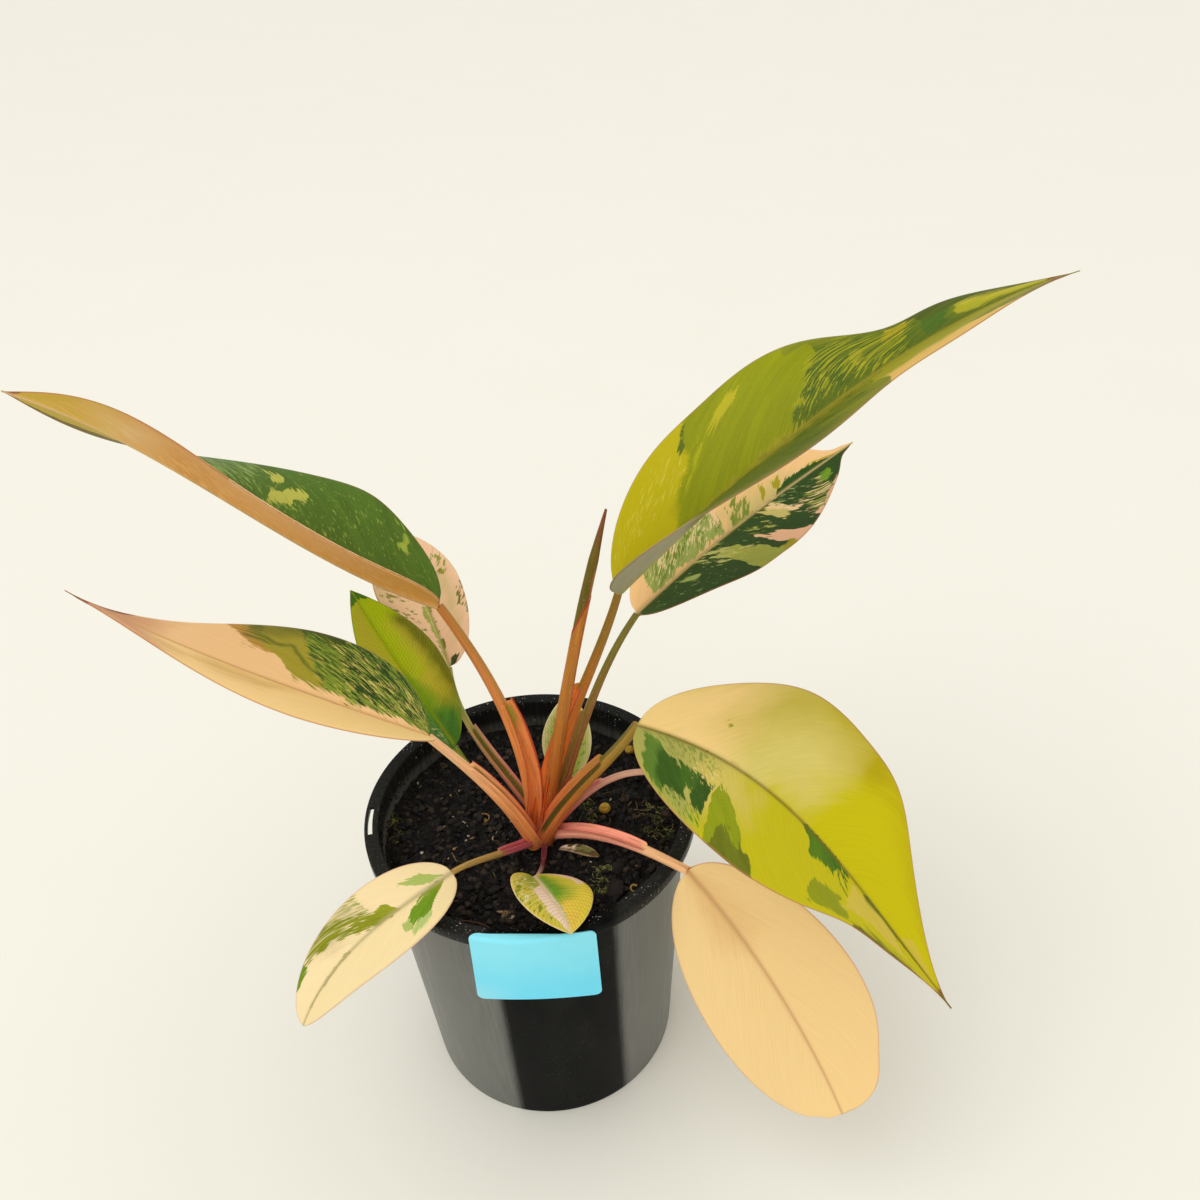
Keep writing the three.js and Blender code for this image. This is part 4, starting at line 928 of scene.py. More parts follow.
               (1, (0, 0.72, 0.93), (0.1, 0.72, 0.92), "#66700c", 0.85),
               (-1, (0.05, 0.84, 0.93), (0.4, 0.86, 0.95), "#cdb83c", 0.8),
               (0, (0, 0.965, 1.2), (1.1, 0.95, 1.2), "#86601e", 0.9),
               (-1, (0.39, 0.187, 0.197), (0.43, 0.19, 0.2), "#8f9018", 0.9)],
        flecks=[(1, (0.75, 0.1, 0.26), (1, 0.12, 0.3), "#5f8a14", 0.5),
                (1, (0, 0.02, 0.2), (0.3, 0.04, 0.26), "#8c9440", 0.5),
                (1, (0, 0.57, 0.67), (0.3, 0.6, 0.68), "#3f6a12", 0.56),
                (1, (0.7, 0.75, 0.9), (1, 0.75, 0.9), "#7f7c14", 0.5)],
        specks=[(1, (0.1, 0.14, 0.24), (0.5, 0.18, 0.3), "#e0c87c", 0.36)]),
    "cream_low": dict(
        slot="leaf_cream", midrib=[(49, -35, 115), (69, -53, 99), (88, -63, 55), (93, -77, 46)],
        half=24.8, widest=0.49, tip=0.44, lean=-45, twist=16, fold=(16, 0, -2, 3), bend=(0.07, -0.16),
        nicks=[(-1, 0.81, 0.08, 0.12), (1, 0.975, 0.14, 0.012)], veins=(0.5, 0.05),
        ground=("#f6d292", "#f6d394"), rib="#cfa06c", edge="#cf8878",
        washes=[(0, (0, -0.1, 0.3), (0.3, -0.1, 0.25), "#e6ba7c", 0.8)]),
    "cream_small": dict(
        slot="leaf_cream", midrib=[(-22, -36, 122), (-37, -49, 123), (-59, -53, 109), (-67, -67, 95)],
        half=13, widest=0.45, tip=0.66, lean=11, twist=-8, fold=(-1, 17, 5, 15), bend=(-0.08, 0),
        veins=(0.42, 0.04), ground=("#f2dca6", "#f7e0ae"), rib="#b5a878", edge="#cf9f8c",
        washes=[(1, (0.3, 0.42, 0.66), (1.1, 0.5, 0.8), "#cdbc8c", 0.8)],
        zones=[(-1, (0, 0.02, 0.18), (0.36, 0.12, 0.29), "#86961a", 1),
               (-1, (0.2, 0.1, 0.26), (0.6, 0.2, 0.32), "#6a9018", 1),
               (1, (0.0, 0.29, 0.42), (0.34, 0.38, 0.56), "#959c1c", 0.9)],
        marks=[(-1, (0.4, 0.28, 0.34), (0.66, 0.29, 0.35), "#a9ba62", 0.95),
               (-1, (0.58, 0.18, 0.26), (0.78, 0.2, 0.32), "#b4c474", 0.95),
               (-1, (0.16, 0.14, 0.22), (0.22, 0.16, 0.24), "#c9cf8c", 0.75),
               (1, (0.1, 0.03, 0.13), (0.55, 0.14, 0.28), "#adc064", 0.95),
               (1, (0.78, 0.78, 0.86), (1.1, 0.79, 0.9), "#6c8e12", 0.95),
               (0, (0, 0.6, 0.92), (0.05, 0.6, 0.92), "#a39a60", 0.9)],
        flecks=[(1, (0.04, 0.32, 0.48), (1.1, 0.66, 0.88), "#868c12", 0.62),
                (1, (0.4, 0.42, 0.6), (1.1, 0.45, 0.72), "#a6a85c", 0.48)]),
    "heart": dict(
        slot="leaf_green", midrib=[(2, -33, 113.5), (6, -41, 117), (11, -49, 117), (13, -56, 115.5)],
        half=13.5, widest=0.45, tip=0.93, lean=19, twist=-5, fold=(13, 17, 22, 13), bend=(-0.18, 0),
        lobe=2, ground=("#e6d044", "#dccc4c"), rib="#e0c8a0", edge="#f0c8a8",
        washes=[(-1, (0, -0.1, 0.6), (0.5, 0.05, 0.45), "#6f9c28", 1),
                (-1, (0, 0.66, 1.2), (0.6, 0.7, 1.2), "#e8c250", 0.95),
                (1, (0.1, -0.1, 0.35), (0.6, -0.1, 0.25), "#86a038", 0.9)],
        zones=[(1, (0, 0.14, 1.0), (0.4, 0.32, 0.94), "#ffe2c6", 1),
               (-1, (0, 0.34, 0.95), (0.08, 0.4, 0.9), "#b4b28a", 0.9),
               (-1, (0.74, -0.1, 0.36), (1.1, -0.1, 0.44), "#f0d0b0", 1)],
        flecks=[(1, (0.4, 0.1, 0.8), (1.1, 0.1, 0.8), "#8f9a2c", 0.36)],
        specks=[(1, (0.2, 0.02, 0.5), (1, 0.05, 0.6), "#ece2b0", 0.33)]),
    "back_small": dict(
        slot="leaf_green", midrib=[(13, 14, 108), (13, 22, 115), (14, 28, 122), (14, 35, 128)],
        half=9.2, widest=0.42, tip=0.8, lean=10, twist=-6, fold=(14, 15, 19, 14), bend=(0, 0),
        ground=("#9fb443", "#a8b848"), rib="#b9c070", edge="#e5d9a0",
        washes=[(0, (0.8, -0.3, 1.2), (1.1, -0.3, 1.2), "#e5d9a0", 0.9)],
        flecks=[(0, (0, 0, 1), (0.8, 0, 1), "#7f9f3c", 0.45)]),
    "hidden": dict(
        slot="leaf_cream", midrib=[(39, -7, 130), (49, -5, 132), (60, -1, 129), (72, 3, 122)],
        half=10, widest=0.45, tip=0.9, lean=0, twist=0, fold=(12, 12, 12, 12), bend=(0, 0),
        ground=("#e9d79a", "#e9d79a"), rib="#cfb27c", edge="#dca088",
        zones=[(1, (0, 0.2, 0.4), (1.1, 0.3, 0.55), "#9fb04e", 0.9)],
        flecks=[(-1, (0, 0, 0.8), (1, 0, 0.9), "#8a9a3c", 0.42)]),
}
SIDE_VEINS = (0.12, 0.08)  # how far up the leaf a side vein moves on its way out, and how it curves
BLADE_THICKNESS = 0.62
KEEL = 1.0
VEIN_GAP = 2.6
QUILT = (0.035, 8.5)  # height of the swells between side veins, and how far they stand apart
NET_CELLS = (1.2, 1.0)  # the fine net in green leaves, along and across
BIG_LEAF = 20  # half width above which a leaf gets the fine grid
FINE_GRID = (170, 34)  # rows along the leaf, and columns across each half
COARSE_GRID = (100, 24)
MARGIN_WIDTH = 0.9  # width over which a blade thins out, and the share that is left
MARGIN_SHARE = 0.15
RIB_GROOVE = (0.3, 0.8)  # depth and half width of the sunken midrib
EDGE_LINE = (0.75, 0.45)  # strength and width of the coloured margin
FULL_HALF = 28  # half width from which the outlines of patches are as soft and uneven as given
FLECKED = 0.6  # cover below which a patch breaks up into flecks
PATCH_STRAY = ((2.2, 9), (1.0, 3.5))  # how far, and over what distance, in millimetres

# The layers of patches, from below up. For each: the soft edge of a patch along the leaf and across
# it, the grain along and across the veins and its detail, how ragged the grain makes the edge, and
# how gradual the edge is.
LAYERS = {
    "washes": ((10, 12), (0.3, 0.06, 1.0), 3, 0.5, 0.4),
    "zones": ((1.2, 4), (0.9, 0.2, 1.2), 3, 1.1, 0.05),
    "marks": ((1.1, 3.5), (1.1, 0.26, 1.4), 3, 1.2, 0.06),
    "flecks": ((2.5, 5), (0.8, 0.38, 1.9), 4, 1.9, 0.06),
    "specks": ((2.5, 5), (1.15, 0.5, 2.3), 3, 1.9, 0.06),
}


def half_width(leaf, u, side):
    """Half width of a blade at the share u of its length."""
    within = np.clip(u / leaf["widest"], 0, 1)
    beyond = np.clip((u - leaf["widest"]) / (1 - leaf["widest"]), 0, 1)
    share = np.sqrt(1 - (1 - within) ** 2) * (1 - beyond ** 1.8) ** leaf["tip"]
    for nick_side, place, depth, length in leaf.get("nicks", ()):
        share = share * np.where(side == nick_side, 1 - depth * np.exp(-((u - place) / length) ** 2), 1)
    return np.maximum(leaf["half"] * share, 0.3)


def blade_surface(leaf, u, v):
    """Middle surface of a blade over a grid: u from base to tip, v from left margin to right."""
    at, along, side, up = (a[:, None] for a in curve_frame(leaf["midrib"], u))
    roll = np.radians(leaf["lean"] + leaf["twist"] * u * u)[:, None, None]
    right = side * np.cos(roll) + up * np.sin(roll)
    normal = up * np.cos(roll) - side * np.sin(roll)
    u, v = u[:, None], v[None, :]
    folds = leaf["fold"]
    base = np.where(v > 0, folds[2], folds[0])
    fold = np.radians(base + (np.where(v > 0, folds[3], folds[1]) - base) * u)
    half = half_width(leaf, u, np.sign(v))
    rise = half * (np.abs(v) * np.sin(fold) + np.where(v > 0, leaf["bend"][1], leaf["bend"][0]) * v * v)
    back = leaf.get("lobe", 0) * np.abs(v) * (1 - u) ** 3
    return at + right * (half * v * np.cos(fold))[..., None] + normal * rise[..., None] \
        - along * back[..., None], half


def face_normals(surface):
    """Unit normals of a grid of points, from its rows and columns."""
    ahead = np.gradient(surface, axis=0)
    right = np.gradient(surface, axis=1)
    normal = np.cross(right, ahead)
    return normal / np.maximum(np.linalg.norm(normal, axis=2, keepdims=True), 1e-9)


def patch_scale(leaf):
    """Size of the outlines of a leaf's patches. It is less on a small leaf."""
    return min(1, leaf["half"] / FULL_HALF)


def strayed(leaf, u, v, length, seed):
    """Places on a leaf pushed about by a few millimetres, so that the patches get uneven outlines."""
    strays = np.zeros((2, *u.shape))
    for reach, wave in np.array(PATCH_STRAY) * patch_scale(leaf):
        for axis in (0, 1):
            apart = seed * 7 + axis * 3
            strays[axis] += [[reach * noise.noise((a * length / wave, b * leaf["half"] / wave, apart))
                              for a, b in zip(*pair)] for pair in zip(u, v)]
    bounded = np.maximum(np.abs(v) + strays[1] / leaf["half"], 0)
    return u + strays[0] / length, bounded * np.where(v < 0, -1, 1)


def painted(leaf, layer, u, v, length):
    """Colour and cover of a layer of patches at each point. Later patches lie over earlier ones."""
    colour = np.zeros((*u.shape, 3))
    cover = np.zeros(u.shape)
    out = np.abs(v)
    soft = [reach * patch_scale(leaf) for reach in LAYERS[layer][0]]
    for side, (inner, *low), (outer, *high), code, most in leaf.get(layer, ()):
        share = np.clip((out - inner) / (outer - inner), 0, 1)
        start = low[0] + (high[0] - low[0]) * share
        stop = low[1] + (high[1] - low[1]) * share
        across = np.maximum(start - u, u - stop) * length / soft[0]
        spread = np.maximum(inner - out if inner > 0 else -1.0, out - outer) * leaf["half"] / soft[1]
        outside = np.hypot(np.maximum(across, 0), np.maximum(spread, 0))
        away = outside + np.minimum(np.maximum(across, spread), 0)
        strength = most * np.clip(0.5 - 0.5 * away, 0, 1)
        if side:
            strength = np.where(v * side >= 0, strength, 0)
        over = (strength / np.maximum(np.maximum(strength, cover), 1e-6))[..., None]
        if most < FLECKED:
            over = (strength > cover)[..., None]
        colour = np.where(over > 0, (1 - over) * colour + over * np.array(shade(code)), colour)
        cover = np.minimum(cover + strength, np.maximum(cover, most))
    return np.concatenate([colour, cover[..., None]], axis=2)


def leaf_finish(name, roughness, glow, net=0.0):
    """Leaf skin. The patches' edges break up along the veins, and the back is paler and duller."""
    finish, tree, surface = new_finish(name)

    def layer(attribute):
        """Values stored on the blade's points."""
        return lay(tree, "Attribute", attribute_name=attribute)

    veins = layer("veins").outputs["Vector"]
    parted = lay(tree, "SeparateXYZ", {0: veins})
    colour = layer("ground").outputs["Color"]
    for attribute, (soft, stretch, detail, ragged, blur) in LAYERS.items():
        patch = layer(attribute)
        streaks = grain_of(tree, 1.0, float(detail), stretch, veins, 0.55)
        wander = sum_of(tree, "MULTIPLY", sum_of(tree, "SUBTRACT", streaks, 0.5), ragged)
        covered = ramp_of(tree, sum_of(tree, "ADD", patch.outputs["Alpha"], wander), 0.5 - blur, 0.5 + blur)
        on_patch = ramp_of(tree, patch.outputs["Alpha"], 0.02, 0.1)
        colour = blend_of(tree, sum_of(tree, "MULTIPLY", covered, on_patch), colour, patch.outputs["Color"])

    # Green tissue is mottled, while the cream has almost no pattern of its own
    green = ramp_of(tree, lay(tree, "SeparateColor", {0: colour}).outputs[0], 0.02, 0.6, 1, 0)
    clouds = grain_of(tree, 1.0, 3.0, (0.2, 0.06, 1), veins)
    fine = grain_of(tree, 1.0, 3.0, (3.2, 0.14, 1), veins)
    cells = grain_of(tree, 1.0, 2.0, (3.5, 2.2, 1), veins)
    mottle = sum_of(tree, "ADD", ramp_of(tree, clouds, 0.3, 0.7, -0.12, 0.12), sum_of(
        tree, "ADD", ramp_of(tree, fine, 0.3, 0.7, -0.1, 0.1), ramp_of(tree, cells, 0.3, 0.7, -0.13, 0.13)))
    ribs = sum_of(tree, "SINE", sum_of(tree, "MULTIPLY", parted.outputs[0], 2 * math.pi / VEIN_GAP))
    faded = ramp_of(tree, clouds, 0.35, 0.6, 0, -0.05)
    lines = sum_of(tree, "MULTIPLY", ramp_of(tree, ribs, 0.8, 1.0), faded)
    lines = sum_of(tree, "ADD", lines, ramp_of(tree, fine, 0.3, 0.7, 0.965, 1.03))
    tone = sum_of(tree, "ADD", sum_of(tree, "MULTIPLY", mottle, green), lines)
    if net:
        ladder = sum_of(tree, "ABSOLUTE", sum_of(tree, "SINE", sum_of(
            tree, "MULTIPLY", parted.outputs[0], math.pi / NET_CELLS[0])))
        rungs = sum_of(tree, "ABSOLUTE", sum_of(tree, "SINE", sum_of(
            tree, "MULTIPLY", parted.outputs[1], math.pi / NET_CELLS[1])))
        mesh_lines = ramp_of(tree, sum_of(tree, "MINIMUM", ladder, rungs), 0.0, 0.5, net, 0)
        tone = sum_of(tree, "ADD", tone, mesh_lines)
    colour = lay(tree, "HueSaturation", {"Value": tone, "Color": colour}).outputs[0]
    trim = layer("trim")
    colour = blend_of(tree, trim.outputs["Alpha"], colour, trim.outputs["Color"])
    back = layer("back").outputs["Fac"]
    colour = blend_of(tree, sum_of(tree, "MULTIPLY", back, 0.08), colour, paint("#cfc9a4"))
    gloss = ramp_of(tree, fine, 0.3, 0.7, roughness - 0.04, roughness + 0.05)
    dull = sum_of(tree, "ADD", gloss, sum_of(tree, "MULTIPLY", back, 0.14))
    fill(tree, surface, {
        "Base Color": colour, "Roughness": dull, "Specular IOR Level": 0.2,
        "Specular Tint": (1, 0.92, 0.6, 1), "Subsurface Weight": glow,
        "Subsurface Radius": (1, 0.7, 0.3), "Subsurface Scale": 0.8 * MM})
    relief = sum_of(tree, "ADD", sum_of(tree, "MULTIPLY", ribs, 0.1), fine)
    press_in(tree, surface, relief, 0.03)
    return finish


def make_blade(name, leaf, finish, seed, node, thickness=BLADE_THICKNESS, keel=KEEL):
    """Builds a blade: two faces that meet in a thin margin, over one grid of points."""
    rows, columns = FINE_GRID if leaf["half"] > BIG_LEAF else COARSE_GRID
    shares = np.linspace(0, 1, columns + 1)[1:]
    out = 0.35 * shares ** 2 + 0.65 * np.sin(shares * math.pi / 2)
    v = np.concatenate([-out[::-1], [0], out])
    u = np.linspace(0, 1, rows)
    middle, half = blade_surface(leaf, u, v)
    normal = face_normals(middle)
    uu, vv = np.broadcast_arrays(u[:, None], v[None, :])
    length = np.linalg.norm(np.diff(curve_frame(leaf["midrib"], u)[0], axis=0), axis=1).sum()
    from_rib = np.abs(vv) * half
    to_margin = (1 - np.abs(vv)) * half
    slant, curve = leaf.get("veins", SIDE_VEINS)
    vein = (uu - slant * np.abs(vv) - curve * vv * vv) * length
    thin = np.sqrt(np.clip(to_margin / MARGIN_WIDTH, 0, 1)) * (1 - MARGIN_SHARE) + MARGIN_SHARE
    quilt = QUILT[0] * np.cos(vein * 2 * math.pi / QUILT[1])
    quilt = quilt * np.clip(from_rib / 4, 0, 1) * np.clip(to_margin / 5, 0, 1)
    groove = RIB_GROOVE[0] * np.exp(-(from_rib / RIB_GROOVE[1]) ** 2) * (1 - 0.6 * uu)
    ridge = keel * (1 - uu) * np.exp(-(from_rib / (0.5 + 0.9 * (1 - uu))) ** 2)
    upper = middle + normal * (thickness / 2 * thin + quilt - groove)[..., None]
    lower = middle - normal * (thickness / 2 * thin - quilt + ridge)[..., None]
    rings = np.concatenate([upper, lower[:, ::-1]], axis=1)
    piece = piece_of(name, *skin(rings), finish, leaf["slot"], node, sharp=60)

    def both(values):
        """The same values for the upper and the lower face."""
        return np.concatenate([values, values[:, ::-1]], axis=1)

    ground = np.where((vv < 0)[..., None], shade(leaf["ground"][0]), shade(leaf["ground"][1]))
    colour_points(piece, "ground", both(ground).reshape(-1, 3))
    on_u, on_v = strayed(leaf, uu, vv, length, seed)
    for layer in LAYERS:
        colour_points(piece, layer, both(painted(leaf, layer, on_u, on_v, length)).reshape(-1, 4))
    on_rib = np.exp(-(from_rib / (0.35 + 0.5 * (1 - uu))) ** 2) * 0.85
    on_edge = np.where(half > 1, EDGE_LINE[0] * np.clip(1 - to_margin / EDGE_LINE[1], 0, 1), 0)
    trim = np.where((on_rib > on_edge)[..., None], shade(leaf["rib"]), shade(leaf["edge"]))
    trim = np.concatenate([trim, np.maximum(on_rib, on_edge)[..., None]], axis=2)
    colour_points(piece, "trim", both(trim).reshape(-1, 4))
    veins = np.stack([vein + 40 * (vv > 0), from_rib, np.full(uu.shape, seed * 5.0)], axis=2)
    store_vectors(piece, "veins", both(veins).reshape(-1, 3))
    back = np.concatenate([np.zeros(uu.shape), np.ones(uu.shape)], axis=1)
    back_layer = piece.data.attributes.new("back", "FLOAT", "POINT")
    back_layer.data.foreach_set("value", back.ravel())


LEAF_FINISHES = {
    "leaf_variegated": leaf_finish("variegated leaf", 0.42, 0.08),
    "leaf_green": leaf_finish("green leaf", 0.42, 0.08, -0.3),
    "leaf_cream": leaf_finish("cream leaf", 0.46, 0.12),
}
for seed, (name, leaf) in enumerate(BLADES.items()):
    make_blade(f"{name}_leaf", leaf, LEAF_FINISHES[leaf["slot"]], seed, f"blade_{name}")

# Spear
# The newest leaf, still furled into a tight roll that stands out of the crown. Its lower part is
# wrapped in an orange sheath with a red edge that winds round it, and its top is olive brown.

SPEAR_ROUTE = [(5.5, -4, 108), (13.5, -1, 155), (21.5, 3, 190), (30.5, 6, 220.5)]
SPEAR_RADII = (2.5, 2.3, 2, 1.8, 1.8, 1.6, 0.4)
SPEAR_STEPS = 150
SHEATH_END = 0.66
SHEATH_SLOPE = 0.06
SHEATH_TURN = 2.6  # where round the roll its sheath reaches highest
SHEATH_THICKNESS = 0.14
ROLL_START = 3.4  # where the outer edge of the roll starts, how far it winds and how thick it is
ROLL_TWIST = 2.2
ROLL_STEP = 0.17
EDGE_FADE = 0.012  # width of the sheath's red edge, as a share of the length
SPEAR_SIZE = (2, 120)  # mean radius and length, which the streaks follow
SPEAR_SEED = 99.0

spear_t = np.linspace(0, 1, SPEAR_STEPS)
spear_angles = np.linspace(0, 2 * math.pi, 72, endpoint=False)
spear_places = np.linspace(0, 1, len(SPEAR_RADII))


def sheath_end(angle):
    """Height where the sheath ends: it climbs round the roll."""
    return SHEATH_END + SHEATH_SLOPE * np.cos(angle - SHEATH_TURN)


def spear_reach(t, angle):
    """A roll: the outer edge of the furled blade makes a small step that winds up the spear."""
    radius = np.interp(t, spear_places, SPEAR_RADII)
    turn = np.mod(angle - ROLL_START + ROLL_TWIST * t, 2 * math.pi) / (2 * math.pi)
    return radius * (1 - ROLL_STEP * turn) + np.where(t < sheath_end(angle), SHEATH_THICKNESS, 0)


spear_rings = swept(SPEAR_ROUTE, spear_t, spear_angles, spear_reach)
spear = piece_of("furled_leaf", *skin(spear_rings), petiole_finish, "spear", "spear")
along = np.repeat(spear_t, len(spear_angles))
around = np.tile(spear_angles, SPEAR_STEPS)
past_sheath = (along - sheath_end(around)) / EDGE_FADE
roll_colour = tinted(("#6a5c1e", "#84502e"), (along - 0.86) / 0.1)
spear_body = np.where((past_sheath < 0)[:, None], tinted(("#bc622c", "#b8762e"), along / 0.4), roll_colour)
colour_points(spear, "body", spear_body)
seam = np.mod(around - ROLL_START + ROLL_TWIST * along + math.pi, 2 * math.pi) - math.pi
stripe_colour = np.where((past_sheath < 0)[:, None], shade("#d89a6c"), shade("#a8864a"))
stripe_share = 0.75 * np.exp(-((seam - 0.9) / 0.7) ** 2) * np.where(along < 0.8, 1, 0.3)
colour_points(spear, "stripe", np.column_stack([stripe_colour, stripe_share]))
on_seam = 0.75 * np.exp(-(seam / 0.1) ** 2)
on_sheath_edge = np.exp(-(past_sheath + 0.6) ** 2)
colour_points(spear, "edge", np.column_stack([
    np.tile(shade("#a83a28"), (len(along), 1)), np.maximum(on_seam, on_sheath_edge)]))
store_vectors(spear, "run", np.column_stack([
    around * SPEAR_SIZE[0], along * SPEAR_SIZE[1], np.full(len(along), SPEAR_SEED)]))

# Scale leaf
# A small bract, pale at its base and drying brown, that hangs from the crown on a thread and rests
# on the soil.

SCALE_LEAF = dict(
    slot="dried_leaf", midrib=[(9, -13.5, 103.8), (13, -15, 104.6), (17, -16, 104.8), (22, -17.4, 103.6)],
    half=2.4, widest=0.62, tip=0.7, lean=12, twist=-20, fold=(34, 12, 30, 16), bend=(0.05, 0.05),
    ground=("#7c7644", "#94895a"), rib="#5e4e2c", edge="#5c3f26",
    washes=[(0, (0, -0.1, 0.42), (1.1, -0.1, 0.42), "#ecd0b0", 1)],
    marks=[(1, (0.1, 0.5, 0.8), (0.6, 0.5, 0.8), "#56612a", 0.8),
           (0, (0.8, 0.4, 1.2), (1.1, 0.4, 1.2), "#c9ae84", 0.9),
           (0, (0, 0.8, 1.2), (0.7, 0.8, 1.2), "#7a5434", 0.9)],
    flecks=[(0, (0, 0.2, 1), (1, 0.2, 1), "#4a3a22", 0.46)])
SCALE_LEAF_SEED = 77
make_blade("dried_bract", SCALE_LEAF, leaf_finish("dried leaf", 0.6, 0), SCALE_LEAF_SEED,
           "scale_leaf", thickness=0.5, keel=0.2)

# Label
# A blank sticker of light blue plastic film, bent over the front of the rim and hanging down the
# pot. It sticks to the lip alone, so its lower corners stand off the wall.

# Its middle is "turn" degrees round from the front. Its top edge lies "over" past the rim's edge,
# more at the left by "slope" and less at both ends by "arch". Its lower corners stand off by "flare".
LABEL = dict(width=38, height=30, turn=1.5, over=2.2, slope=1.5, arch=1.8, flare=1.1, corner=2.2)
LABEL_GAP = 0.3
LABEL_FACES = (0.05, 0.5)  # the film's two faces, outward from where the solid's inner face is
LABEL_BEND = 0.9


def label_place(down, across, out):
    """A point of the film: down from the rim's top edge, across from -1 to 1."""
    rim = RIM_RADIUS + LABEL_GAP
    angle = math.radians(LABEL["turn"] - 90) + across * LABEL["width"] / 2 / rim
    hang = LABEL["height"] - LIP_HEIGHT
    flare = LABEL["flare"] * across ** 2 * max(down - LIP_HEIGHT, 0) / hang
    radius = rim + out + min(down, 0) + flare
    height = POT_HEIGHT + LABEL_GAP + (-down if down > 0 else out)
    return np.array([radius * math.cos(angle), radius * math.sin(angle), height])


def label_point(down, across, out):
    """The same, with the bend over the rim eased."""
    steps = np.linspace(-LABEL_BEND, LABEL_BEND, 7)
    return sum(label_place(down + step, across, out) for step in steps) / len(steps)


def film():
    """Light blue film, smooth, with a faint tooth and faint clouds, and painted light that makes it lighter
    towards the rim.
    """
    finish, tree, surface = new_finish("blue label film")
    place = lay(tree, "TexCoord").outputs["Object"]
    parted = lay(tree, "SeparateXYZ", {0: place})
    tooth = grain_of(tree, 2.2, 2.0)
    clouds = grain_of(tree, 0.08, 2.0)
    # Painted light: the film is blended lighter towards the rim, with faint random clouds on top
    top_light_and_clouds = sum_of(tree, "ADD", ramp_of(tree, parted.outputs[2], 0.078, 0.113), ramp_of(
        tree, clouds, 0.3, 0.7, -0.12, 0.12), clamp=True)
    body = blend_of(tree, top_light_and_clouds, paint("#6fe2ff"), paint("#8cecff"))
    corner_share = sum_of(tree, "MULTIPLY", ramp_of(tree, parted.outputs[0], -0.004, -0.018), ramp_of(
        tree, parted.outputs[2], 0.095, 0.084, 0, 0.35))
    pale = blend_of(tree, corner_share, body, paint("#c4edf6"))
    dull = ramp_of(tree, tooth, 0.3, 0.7, 0.36, 0.44)
    fill(tree, surface, {"Base Color": pale, "Roughness": dull, "Specular IOR Level": 0.3})
    press_in(tree, surface, tooth, 0.02)
    return finish


label_rows = np.concatenate([
    np.linspace(0, 0.16, 34), np.linspace(0.17, 0.9, 26), np.linspace(0.91, 1, 14)])
label_columns = np.sin(np.linspace(-1, 1, 61) * math.pi / 2)
label_rings = []
for row in label_rows:
    from_end = min(row, 1 - row) * LABEL["height"]
    cut = max(LABEL["corner"] - from_end, 0)
    inset = LABEL["corner"] - math.sqrt(max(LABEL["corner"] ** 2 - cut ** 2, 0))
    reach = 1 - inset / (LABEL["width"] / 2)
    loop = []
    for out, columns in ((LABEL_FACES[1], label_columns), (LABEL_FACES[0], label_columns[::-1])):
        for column in columns:
            across = column * reach
            start = -LABEL["over"] + LABEL["slope"] * across + LABEL["arch"] * across ** 2
            loop.append(label_point(start + row * LABEL["height"], across, out))
    label_rings.append(loop[::-1])
piece_of("rim_label", *skin(np.array(label_rings)), film(), "label_blue", "label", sharp=50)

# Studio
# A plain off-white floor that runs out of view, a broad soft light from the upper left, and even
# light all round. The camera looks down on the plant from the front, as the photograph does.

FLOOR_SIZE = 12000
CAMERA_PLACE = (27.3, -256.6, 381.5)
CAMERA_DOWN = 36.2  # in degrees, as the roll
CAMERA_ROLL = -3.5
LENS = 33.0
SENSOR = 36
SUN_FROM = (-0.45, -0.25, 1)
SUN_SPREAD = 50  # in degrees
SUN_STRENGTH = 0.5
SKY_STRENGTH = 0.86
SKY_COLOUR = (1, 0.985, 0.955, 1)
PANEL_PLACE = (-0.6, -0.3, 1.6)  # lamps are placed in metres
PANEL_AIM = (0.02, 0, 0.15)
PANEL_POWER = 2.5
PANEL_SIZE = 1.0


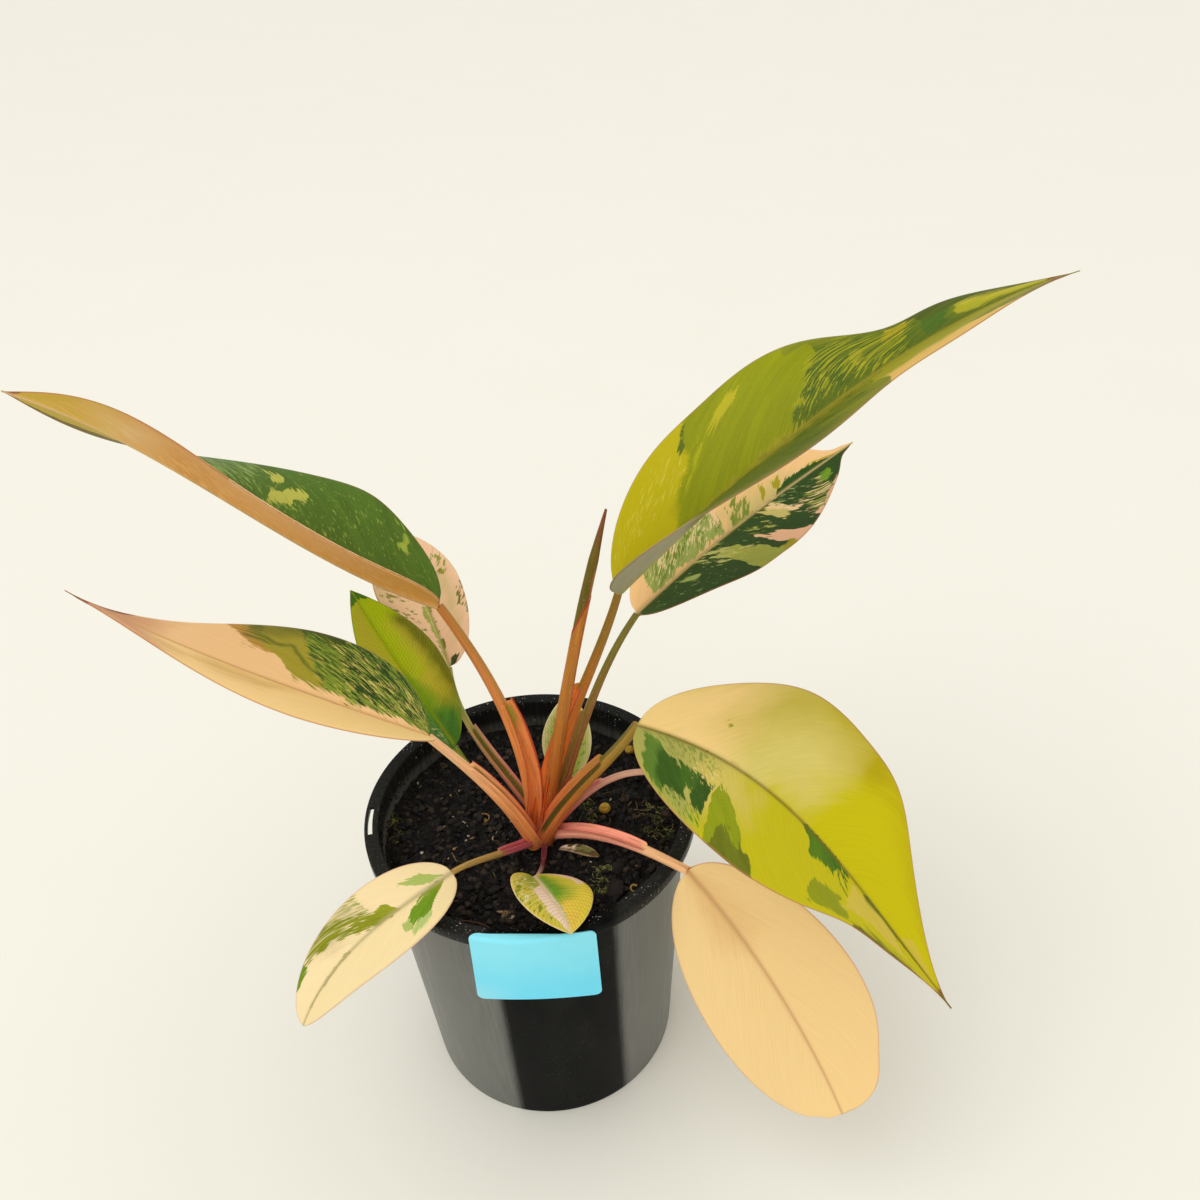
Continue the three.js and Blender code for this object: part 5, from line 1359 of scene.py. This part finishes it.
def floor_paper():
    """Off-white paper, almost even in colour."""
    finish, tree, surface = new_finish("floor paper")
    tooth = grain_of(tree, 0.01, 2.0)
    body = blend_of(tree, tooth, paint("#f1efe4"), paint("#f3f1e7"))
    fill(tree, surface, {"Base Color": body, "Roughness": 0.9, "Specular IOR Level": 0.1})
    return finish


half_floor = FLOOR_SIZE / 2 * MM
floor_mesh = bpy.data.meshes.new("floor")
floor_corners = [(x * half_floor, y * half_floor, 0) for x, y in ((-1, -1), (1, -1), (1, 1), (-1, 1))]
floor_mesh.from_pydata(floor_corners, [], [(0, 1, 2, 3)])
floor_mesh.materials.append(floor_paper())
floor = bpy.data.objects.new("floor", floor_mesh)
bpy.context.collection.objects.link(floor)

world = bpy.data.worlds.new("even light")
world.use_nodes = True
sky = {"Color": SKY_COLOUR, "Strength": SKY_STRENGTH}
fill(world.node_tree, world.node_tree.nodes["Background"], sky)
bpy.context.scene.world = world


def hang_lamp(name, kind, place, target, power):
    """A lamp that faces a point."""
    lamp = bpy.data.lights.new(name, kind)
    lamp.energy = power
    light = bpy.data.objects.new(name, lamp)
    light.location = place
    light.rotation_euler = (Vector(target) - Vector(place)).to_track_quat("-Z", "Y").to_euler()
    bpy.context.collection.objects.link(light)
    return lamp


sun = hang_lamp("broad light", "SUN", SUN_FROM, (0, 0, 0), SUN_STRENGTH)
sun.angle = math.radians(SUN_SPREAD)
panel = hang_lamp("soft panel", "AREA", PANEL_PLACE, PANEL_AIM, PANEL_POWER)
panel.shape = "SQUARE"
panel.size = PANEL_SIZE

bpy.context.scene.view_settings.view_transform = "Standard"

camera_data = bpy.data.cameras.new("camera")
camera_data.lens = LENS
camera_data.sensor_width = SENSOR
camera_data.clip_start = 0.01
camera_data.clip_end = 50
camera = bpy.data.objects.new("camera", camera_data)
bpy.context.collection.objects.link(camera)
down = math.radians(CAMERA_DOWN)
roll = math.radians(CAMERA_ROLL)
forward = Vector((0, math.cos(down), -math.sin(down)))
level = Vector((1, 0, 0))
upright = level.cross(forward)
right = level * math.cos(roll) + upright * math.sin(roll)
above = upright * math.cos(roll) - level * math.sin(roll)
camera.matrix_world = Matrix.Translation(Vector(CAMERA_PLACE) * MM) @ Matrix(
    (right, above, -forward)).transposed().to_4x4()
bpy.context.scene.camera = camera
